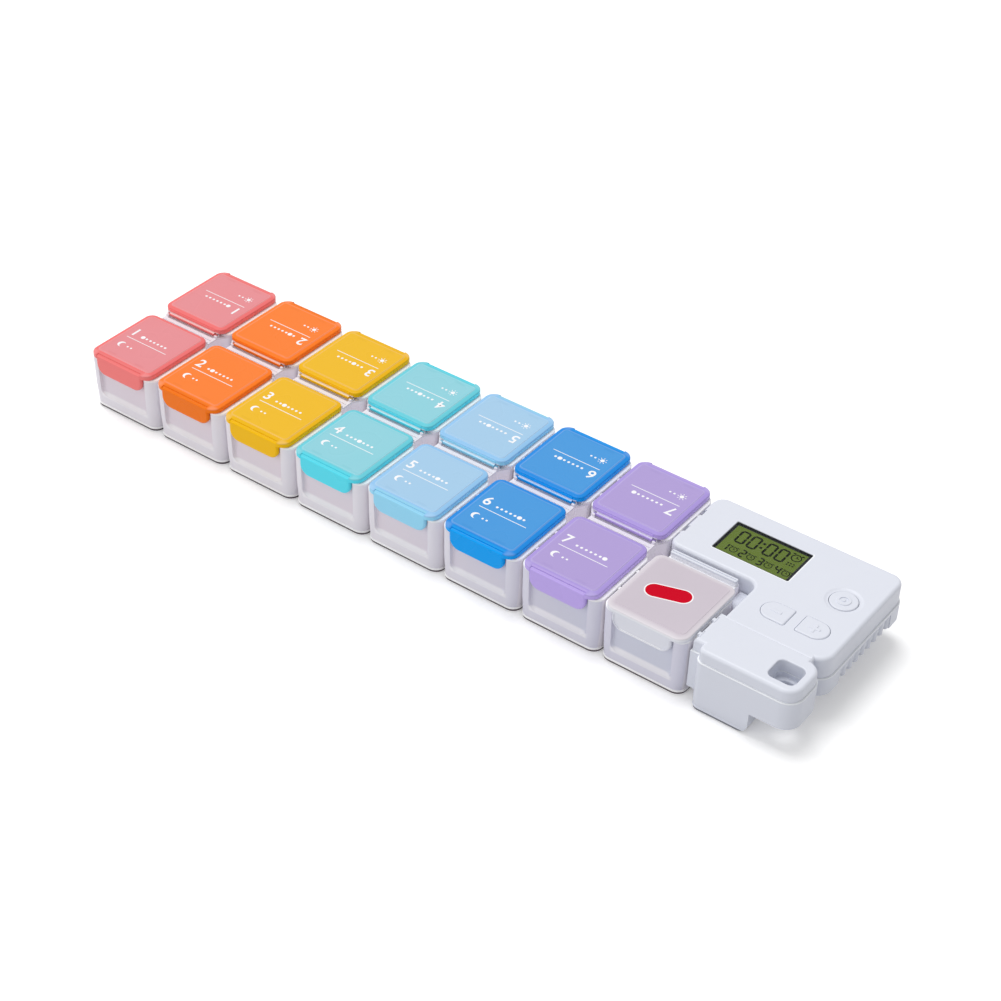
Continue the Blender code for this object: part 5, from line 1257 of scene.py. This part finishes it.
class PILLBOX_OT_buttons(bpy.types.Operator):
    """Shape the three buttons and the sliding battery cover"""
    bl_idname = "pillbox.buttons"
    bl_label = "Buttons and Battery Cover"

    def execute(self, context):
        scene = context.scene
        timer, tones = scene.pill_box_timer, scene.pill_box_tones
        white = plain("white_button_plastic", tones.case[:], 0.32, shade=0.008, Specular_IOR_Level=0.35)
        place = Matrix.Translation((TIMER_LEFT, 0, 0))
        for node, side in D_BUTTONS:
            single(self.d_button(timer.height, node, side), f"{node}_cap", place, white, node, "white_case",
                   (node,))
        single(self.round_button(timer.height), "round_button_cap", place, white, "round_button", "white_case",
               ("round_button",))
        single(self.battery_cover(), "sliding_battery_cover", place, white, "battery_cover", "white_case",
               ("battery_cover",))
        return {"FINISHED"}

    def d_button(self, top, node, side):
        """D-shaped button with a raised bar, or on the right a cross."""
        x, y = node_centre(node)
        corners, gap = button_corners((x, y), side), 0.12 * MM
        levels = [(gap, top - 2.1 * MM)] + [
            (gap + inset, z) for inset, z in crown(top + 0.28 * MM, 0.5 * MM, 6)]
        body = upright("button", corners, levels)
        low, high, long, short = top + 0.1 * MM, top + 0.5 * MM, 2.1 * MM, 0.6 * MM
        marks = [raised_mark(rectangle(x - long, x + long, y - short, y + short, 0.4 * MM), low, high)]
        if side > 0:
            marks.append(raised_mark(rectangle(x - short, x + short, y - long, y + long, 0.4 * MM), low, high))
        fuse(body, upright("flange", corners, [(-0.9 * MM, high - 2.84 * MM), (-0.9 * MM, top - 2.1 * MM)]))
        return smooth(fuse(body, *marks))

    def round_button(self, top):
        """Round button with a raised ring and a dot."""
        centre, gap = node_centre("round_button"), 0.16 * MM
        low, high = top - 0.2 * MM, top + 0.3 * MM
        levels = [(gap, high - 2.6 * MM)] + [
            (gap + inset, z) for inset, z in crown(top + 0.02 * MM, 0.45 * MM, 5)]
        body = cylinder("round", centre, ROUND_BUTTON, levels, 64)
        fuse(body, peg("flange", centre, 5.9 * MM, high - 2.6 * MM, top - 2.1 * MM, 48))
        levels = [(0, low), (0, high - 0.12 * MM), (0.12 * MM, high)]
        ring = cylinder("ring", centre, 2.5 * MM, levels, 40)
        cut(ring, peg("ring hole", centre, 1.5 * MM, low - 0.2 * MM, high + 0.2 * MM, 40))
        return smooth(fuse(body, ring, cylinder("dot", centre, 0.6 * MM, levels, 24)))

    def battery_cover(self):
        """Flat cover with a tongue along each side and a ridged dish for the thumb."""
        (low_x, front, _), (high_x, back, top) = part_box("battery_cover")
        tongue_reach = 0.65 * MM
        left, right = low_x - TIMER_LEFT + tongue_reach, high_x - TIMER_LEFT - tongue_reach
        plan = rectangle(left, right, front, back, 0.4 * MM)
        body = upright("cover", plan, foot(0, 0.25 * MM, 3) + [(0, top)])
        fuse(body, box("tongues", left - tongue_reach, right + tongue_reach, front, back,
                       top - 0.5 * MM, top))
        x, y = (left + right) / 2, back - 9 * MM
        dish = [(-0.3 * MM, -PAST), (0, 0), (0.2 * MM, 0.12 * MM), (0.8 * MM, 0.42 * MM),
                (1.6 * MM, 0.55 * MM)]
        cut(body, cylinder("thumb dish", (x, y), 5.5 * MM, dish, 48))
        reach, half = 3 * MM, 0.25 * MM
        ridges = [box("ridge", x - reach, x + reach, middle - half, middle + half, 0.1 * MM, 0.8 * MM)
                  for middle in (y - 1.6 * MM, y, y + 1.6 * MM)]
        return smooth(fuse(body, *ridges))


# Display

SEGMENTS = {
    "0": "abcdef", "1": "bc", "2": "abged", "3": "abgcd", "4": "fgbc", "5": "afgcd",
    "6": "afgedc", "7": "abc", "8": "abcdefg", "9": "abcdfg",
}


def segment(x, y, span, thick, upright_bar):
    """Six-sided bar of a digit, in a plan."""
    half, point = span / 2, thick / 2
    ring = [(-half, 0), (-half + point, -point), (half - point, -point), (half, 0), (half - point, point),
            (-half + point, point)]
    if upright_bar:
        ring = [(-b, a) for a, b in ring]
    return [(x + a, y + b, 0) for a, b in ring]


def digit(character, x, y, width, height, thick):
    """Outlines of a seven-segment digit whose lower left corner is at x, y."""
    span, rise = width - thick * 0.08, height / 2 - thick * 0.08
    places = {
        "a": (width / 2, height, False), "g": (width / 2, height / 2, False), "d": (width / 2, 0, False),
        "f": (0, height * 0.75, True), "b": (width, height * 0.75, True),
        "e": (0, height * 0.25, True), "c": (width, height * 0.25, True),
    }
    for name in SEGMENTS[character]:
        across, up, standing = places[name]
        yield segment(x + across, y + up, rise if standing else span, thick, standing)


def display_marks(centre):
    """Outlines of everything that the display shows, in the timer's plan."""
    x, y = centre[0] - 13.8 * MM, centre[1] - 7.8 * MM
    big_y, big_w, big_h = y + 7.2 * MM, 2.9 * MM, 6.4 * MM
    for left in (3.2, 7.7, 13.8, 18.3):
        yield from digit("0", x + left * MM, big_y, big_w, big_h, 0.78 * MM)
    for up in (1.8, 4.3):
        yield rectangle(x + 11.65 * MM, x + 12.65 * MM, big_y + up * MM, big_y + (up + 1.0) * MM, 0)
    for number in range(4):
        left = x + (1.4 + 6.7 * number) * MM
        yield from digit(str(number + 1), left, y + 1.3 * MM, 1.7 * MM, 3.6 * MM, 0.62 * MM)
        yield from clock_face(left + 4.0 * MM, y + 3.0 * MM, 1.3 * MM)
    yield from clock_face(x + 24.3 * MM, big_y + 4.9 * MM, 1.7 * MM)
    for row in range(2):
        for column in range(3):
            left = x + (22.9 + column * 1.1) * MM
            yield rectangle(left, left + 0.6 * MM, big_y + row * 1.1 * MM, big_y + (row * 1.1 + 0.6) * MM, 0)


def clock_face(x, y, radius):
    """Small alarm clock sign: a ring of twelve strokes, two hands and two ears."""
    for step in range(12):
        angle = 2 * math.pi * step / 12
        place = Vector((x + radius * math.cos(angle), y + radius * math.sin(angle)))
        along = Vector((-math.sin(angle), math.cos(angle))) * radius * 0.27
        across = Vector((math.cos(angle), math.sin(angle))) * radius * 0.12
        yield [(*(place + a), 0) for a in (-along - across, across - along, along + across, along - across)]
    thick = radius * 0.1
    yield rectangle(x - thick, x + thick, y - thick, y + radius * 0.6, 0)
    yield rectangle(x - thick, x + radius * 0.5, y - thick, y + thick, 0)
    for ear in (x - radius * 0.95, x + radius * 0.95):
        yield rectangle(ear - radius * 0.3, ear + radius * 0.3, y + radius * 0.95, y + radius * 1.25, 0)


class PILLBOX_OT_display(bpy.types.Operator):
    """Shape the display's frame, window, panel and digits"""
    bl_idname = "pillbox.display"
    bl_label = "Display"

    def execute(self, context):
        scene = context.scene
        top, tones = scene.pill_box_timer.height, scene.pill_box_tones
        place = Matrix.Translation((TIMER_LEFT, 0, 0))
        centre, opening = node_centre("display_panel"), window_corners()
        square = [(x, y, 0) for x, y, _ in opening]
        film_top = top - 0.75 * MM

        low_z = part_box("display_frame")[0][2]
        body = upright("frame", opening, [(-1.4 * MM, low_z), (-1.4 * MM, top - 2.1 * MM)])
        fuse(body, upright("collar", opening, [(0.05 * MM, low_z), (0.05 * MM, top - 0.3 * MM)]))
        cut(body, upright("opening", opening, [(0.3 * MM, low_z - PAST), (0.3 * MM, top + PAST)]))
        black = plain("black_frame_plastic", linear((26, 27, 32)), 0.5)
        single(smooth(body), "display_surround", place, black, "timer", "black_plastic", ("display_frame",))

        low_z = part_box("display_panel")[0][2]
        body = upright("panel", square, [(0.35 * MM, low_z), (0.35 * MM, film_top)])
        single(smooth(body), "display_glass_panel", place, self.panel_material(tones, centre), "timer",
               "display_glass", ("display_panel",))
        marks = [upright("mark", corners, [(0, film_top), (0, film_top + 0.02 * MM)], 1)
                 for corners in display_marks(centre)]
        dark = plain("display_digit_film", tones.digits[:], 0.5, Specular_IOR_Level=0.02)
        single(join("digits", marks), "display_digits", place, dark, "timer", "display_glass")

        clear = Paint("clear_window_plastic", Alpha=0.03, Roughness=0.1, Specular_IOR_Level=0.2)
        here, _ = clear.place()
        clear.set(Base_Color=clear.blend(clear.noise(here, 80.0), (0.2, 0.22, 0.2), (0.24, 0.26, 0.24)))
        body = upright("window", square, [(0.4 * MM, film_top + 0.1 * MM), (0.4 * MM, film_top + 0.4 * MM)])
        single(smooth(body), "display_clear_window", place, clear.material, "timer", "clear_window",
               ("display_window",))
        return {"FINISHED"}

    def panel_material(self, tones, centre):
        """Reflective display film: olive with a fine cell grid, inside a black border."""
        paint = Paint("display_film", Specular_IOR_Level=0.12)
        here, (x, y, _) = paint.place()
        film, middle = tones.display[:], TIMER_LEFT + centre[0]
        inner = (x - middle + 0.15 * MM).within(13.5 * MM, 0.05 * MM) * (
            y - centre[1] + 0.1 * MM).within(7.6 * MM, 0.05 * MM)
        grid = (x * 2600.0).maths("SINE") * (y * 2600.0).maths("SINE")
        colour = paint.blend(paint.noise(here, 70.0), dimmed(film, 0.88), dimmed(film, 1.06))
        paint.set(Base_Color=paint.blend(inner, (0.006, 0.007, 0.012), colour), Roughness=0.36 + grid * 0.03)
        paint.bump(grid, 0.03)
        return paint.material


# Pieces that keep their CAD shape

def metal(name, colour, roughness, scale):
    """Plated metal with fine rolling marks and dull patches."""
    paint = Paint(name, Metallic=1.0)
    here, _ = paint.place()
    stretched = paint.node("ShaderNodeMapping", {}, here, Scale=(1.0, 1.0, 14.0))
    streak, patch = paint.noise(stretched, scale, 4.0), paint.noise(here, 220.0)
    paint.set(Base_Color=paint.blend(patch, dimmed(colour, 0.82), colour),
              Roughness=roughness + (streak - 0.5) * 0.2 + patch * 0.08)
    paint.bump(streak, 0.15)
    return paint.material


def board_material():
    """Green board with paler traces and darker solder mask between them."""
    paint = Paint("board_laminate", Coat_Weight=0.3, Coat_Roughness=0.2, Roughness=0.35)
    here, (x, y, _) = paint.place()
    lane = (y * 2400.0).maths("SINE").rise(0.35, 0.6) * paint.noise(here, 90.0).rise(0.45, 0.55)
    cross = (x * 1900.0).maths("SINE").rise(0.55, 0.75) * paint.noise(here, 70.0).fall(0.45, 0.55)
    traces = lane.above(cross)
    paint.set(Base_Color=paint.blend(traces, (0.012, 0.12, 0.05), (0.03, 0.24, 0.1)))
    paint.bump(traces, 0.2, 0.05 * MM)
    return paint.material


def cell_material():
    """Battery sleeve: dark wrap, a copper-coloured band at one end and bare steel at both tips."""
    paint = Paint("battery_wrap", Coat_Weight=0.4, Coat_Roughness=0.1)
    here, (x, y, _) = paint.place()
    low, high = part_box("battery_front")
    along, middle_y = x - (low[0] + high[0]) / 2, (low[1] + high[1]) / 2
    back_cell = y.rise(middle_y + 5 * MM, middle_y + 6 * MM)
    band = (along * (1 - back_cell * 2)).rise(10 * MM, 10.2 * MM)
    tip = abs(along).rise(21.3 * MM, 21.5 * MM)
    wrap = paint.blend(band, (0.03, 0.035, 0.05), (0.55, 0.3, 0.12))
    paint.set(Base_Color=paint.blend(tip, wrap, (0.62, 0.62, 0.6)), Metallic=(band * 0.6).above(tip),
              Roughness=0.3 + (paint.noise(here, 400.0) - 0.5) * 0.1)
    return paint.material


class PILLBOX_OT_inner_parts(bpy.types.Operator):
    """Finish the board, switches, buzzer, batteries, contacts and screws"""
    bl_idname = "pillbox.inner_parts"
    bl_label = "Inner Parts"

    def execute(self, context):
        finishes = (
            (board_material(), ["circuit_board"]),
            (metal("brass_shell", (0.75, 0.55, 0.24), 0.3, 700.0), ["buzzer"]),
            (plain("switch_plastic", (0.025, 0.026, 0.03), 0.45),
             [f"{button}_switch" for button in ("left_button", "right_button", "round_button")]),
            (cell_material(), ["battery_front", "battery_back"]),
            (metal("nickel_plate", (0.7, 0.69, 0.66), 0.25, 900.0),
             [f"battery_contact_{place}" for place in ("joined", "front", "back")] +
             ["battery_spring_front", "battery_spring_back"] +
             [f"case_screw_{count}" for count in range(1, 5)]),
            (plain("connector_rubber", (0.22, 0.22, 0.23), 0.75, shade=0.1, grain=0.4),
             ["display_connector_front", "display_connector_back"]),
        )
        for finish, nodes in finishes:
            for node in nodes:
                for material_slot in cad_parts[node].material_slots:
                    material_slot.material = finish
        return {"FINISHED"}


# Floor, light and camera

class PILLBOX_OT_stage(bpy.types.Operator):
    """Lay the white floor and set the light and the camera"""
    bl_idname = "pillbox.stage"
    bl_label = "Stage"

    def execute(self, context):
        self.floor()
        self.world(context.scene)
        self.lamps(context.scene)
        self.camera(context.scene)
        context.scene.view_settings.view_transform = "Standard"
        return {"FINISHED"}

    def floor(self):
        """White floor that shows as white to the camera and takes the object's shadow."""
        half, surface, underside_z = 3.0, -0.2 * MM, -20 * MM
        corners = ((-half, -half), (half, -half), (half, half), (-half, half))
        sheet = loft("table_top", [[(x, y, z) for x, y in corners] for z in (underside_z, surface)])
        paint = Paint("table_white", Roughness=0.9, Specular_IOR_Level=0.0, Emission_Strength=0.2)
        seen = paint.seen()
        paint.set(Base_Color=paint.blend(seen, (0.66, 0.66, 0.68), WHITE),
                  Emission_Color=paint.blend(seen, BLACK, WHITE))
        sheet.data.materials.append(paint.material)
        sheet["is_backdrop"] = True

    def world(self, scene):
        """White all round: full where it is seen, and half as strong as a light."""
        world = bpy.data.worlds.new("studio")
        scene.world = world
        world.use_nodes = True
        nodes = Nodes(world.node_tree)
        back = nodes.tree.nodes["Background"]
        nodes.feed(back.inputs["Color"], WHITE)
        nodes.feed(back.inputs["Strength"], nodes.seen() * 0.5 + 0.5)

    def lamps(self, scene):
        for name, direction, strength, angle in (
            ("key_light", (-0.35, 0.12, 1.0), 1.52, 32.0), ("fill_light", (-0.5, -1.0, 0.45), 0.72, 60.0),
        ):
            lamp = bpy.data.lights.new(name, "SUN")
            lamp.energy = strength
            lamp.angle = math.radians(angle)
            item = bpy.data.objects.new(name, lamp)
            scene.collection.objects.link(item)
            item.rotation_euler = Vector(direction).to_track_quat("Z", "Y").to_euler()

    def camera(self, scene):
        """Camera at the photo's angle: the turn and place that fit the object's corners there."""
        place, turn = (0.349957, -0.481599, 0.467489), Vector((2.13051836, 0.718974744, -0.310571309))
        to_camera = Matrix.Rotation(turn.length, 3, turn.normalized())
        right, down, ahead = to_camera
        lens = bpy.data.cameras.new("photo_camera")
        lens.lens, lens.sensor_width, lens.clip_start = 76.774, 36.0, 0.01
        item = bpy.data.objects.new("photo_camera", lens)
        scene.collection.objects.link(item)
        basis = Matrix((right, -down, -ahead)).transposed().to_4x4()
        item.matrix_world = Matrix.Translation(place) @ basis
        scene.camera = item


GROUPS = {
    "pill_box_trays": TraySizes,
    "pill_box_lids": LidSizes,
    "pill_box_timer": TimerSizes,
    "pill_box_tones": Tones,
}


class PILLBOX_PT_panel(bpy.types.Panel):
    """Sizes, colours and steps of the pill box"""
    bl_label = "Pill Box"
    bl_idname = "PILLBOX_PT_panel"
    bl_space_type = "VIEW_3D"
    bl_region_type = "UI"
    bl_category = "Pill Box"

    def draw(self, context):
        for group in GROUPS:
            settings = getattr(context.scene, group)
            column = self.layout.column(align=True)
            for name in settings.__annotations__:
                column.prop(settings, name)
        for step in STEPS:
            self.layout.operator(step.bl_idname)


STEPS = (PILLBOX_OT_trays, PILLBOX_OT_lids, PILLBOX_OT_prints, PILLBOX_OT_timer_case, PILLBOX_OT_buttons,
         PILLBOX_OT_display, PILLBOX_OT_inner_parts, PILLBOX_OT_stage)
CLASSES = (*GROUPS.values(), *STEPS, PILLBOX_PT_panel)


def register():
    for kind in CLASSES:
        bpy.utils.register_class(kind)
    for name, kind in GROUPS.items():
        setattr(bpy.types.Scene, name, PointerProperty(type=kind))


def unregister():
    for name in GROUPS:
        delattr(bpy.types.Scene, name)
    for kind in reversed(CLASSES):
        bpy.utils.unregister_class(kind)


def main():
    register()
    for step in STEPS:
        group, name = step.bl_idname.split(".")
        getattr(getattr(bpy.ops, group), name)()
    boxes = {"cad": CAD_BOX, "visual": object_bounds()}
    {name: [list(corner) for corner in corners] for name, corners in boxes.items()}


if __name__ == "__main__":
    main()
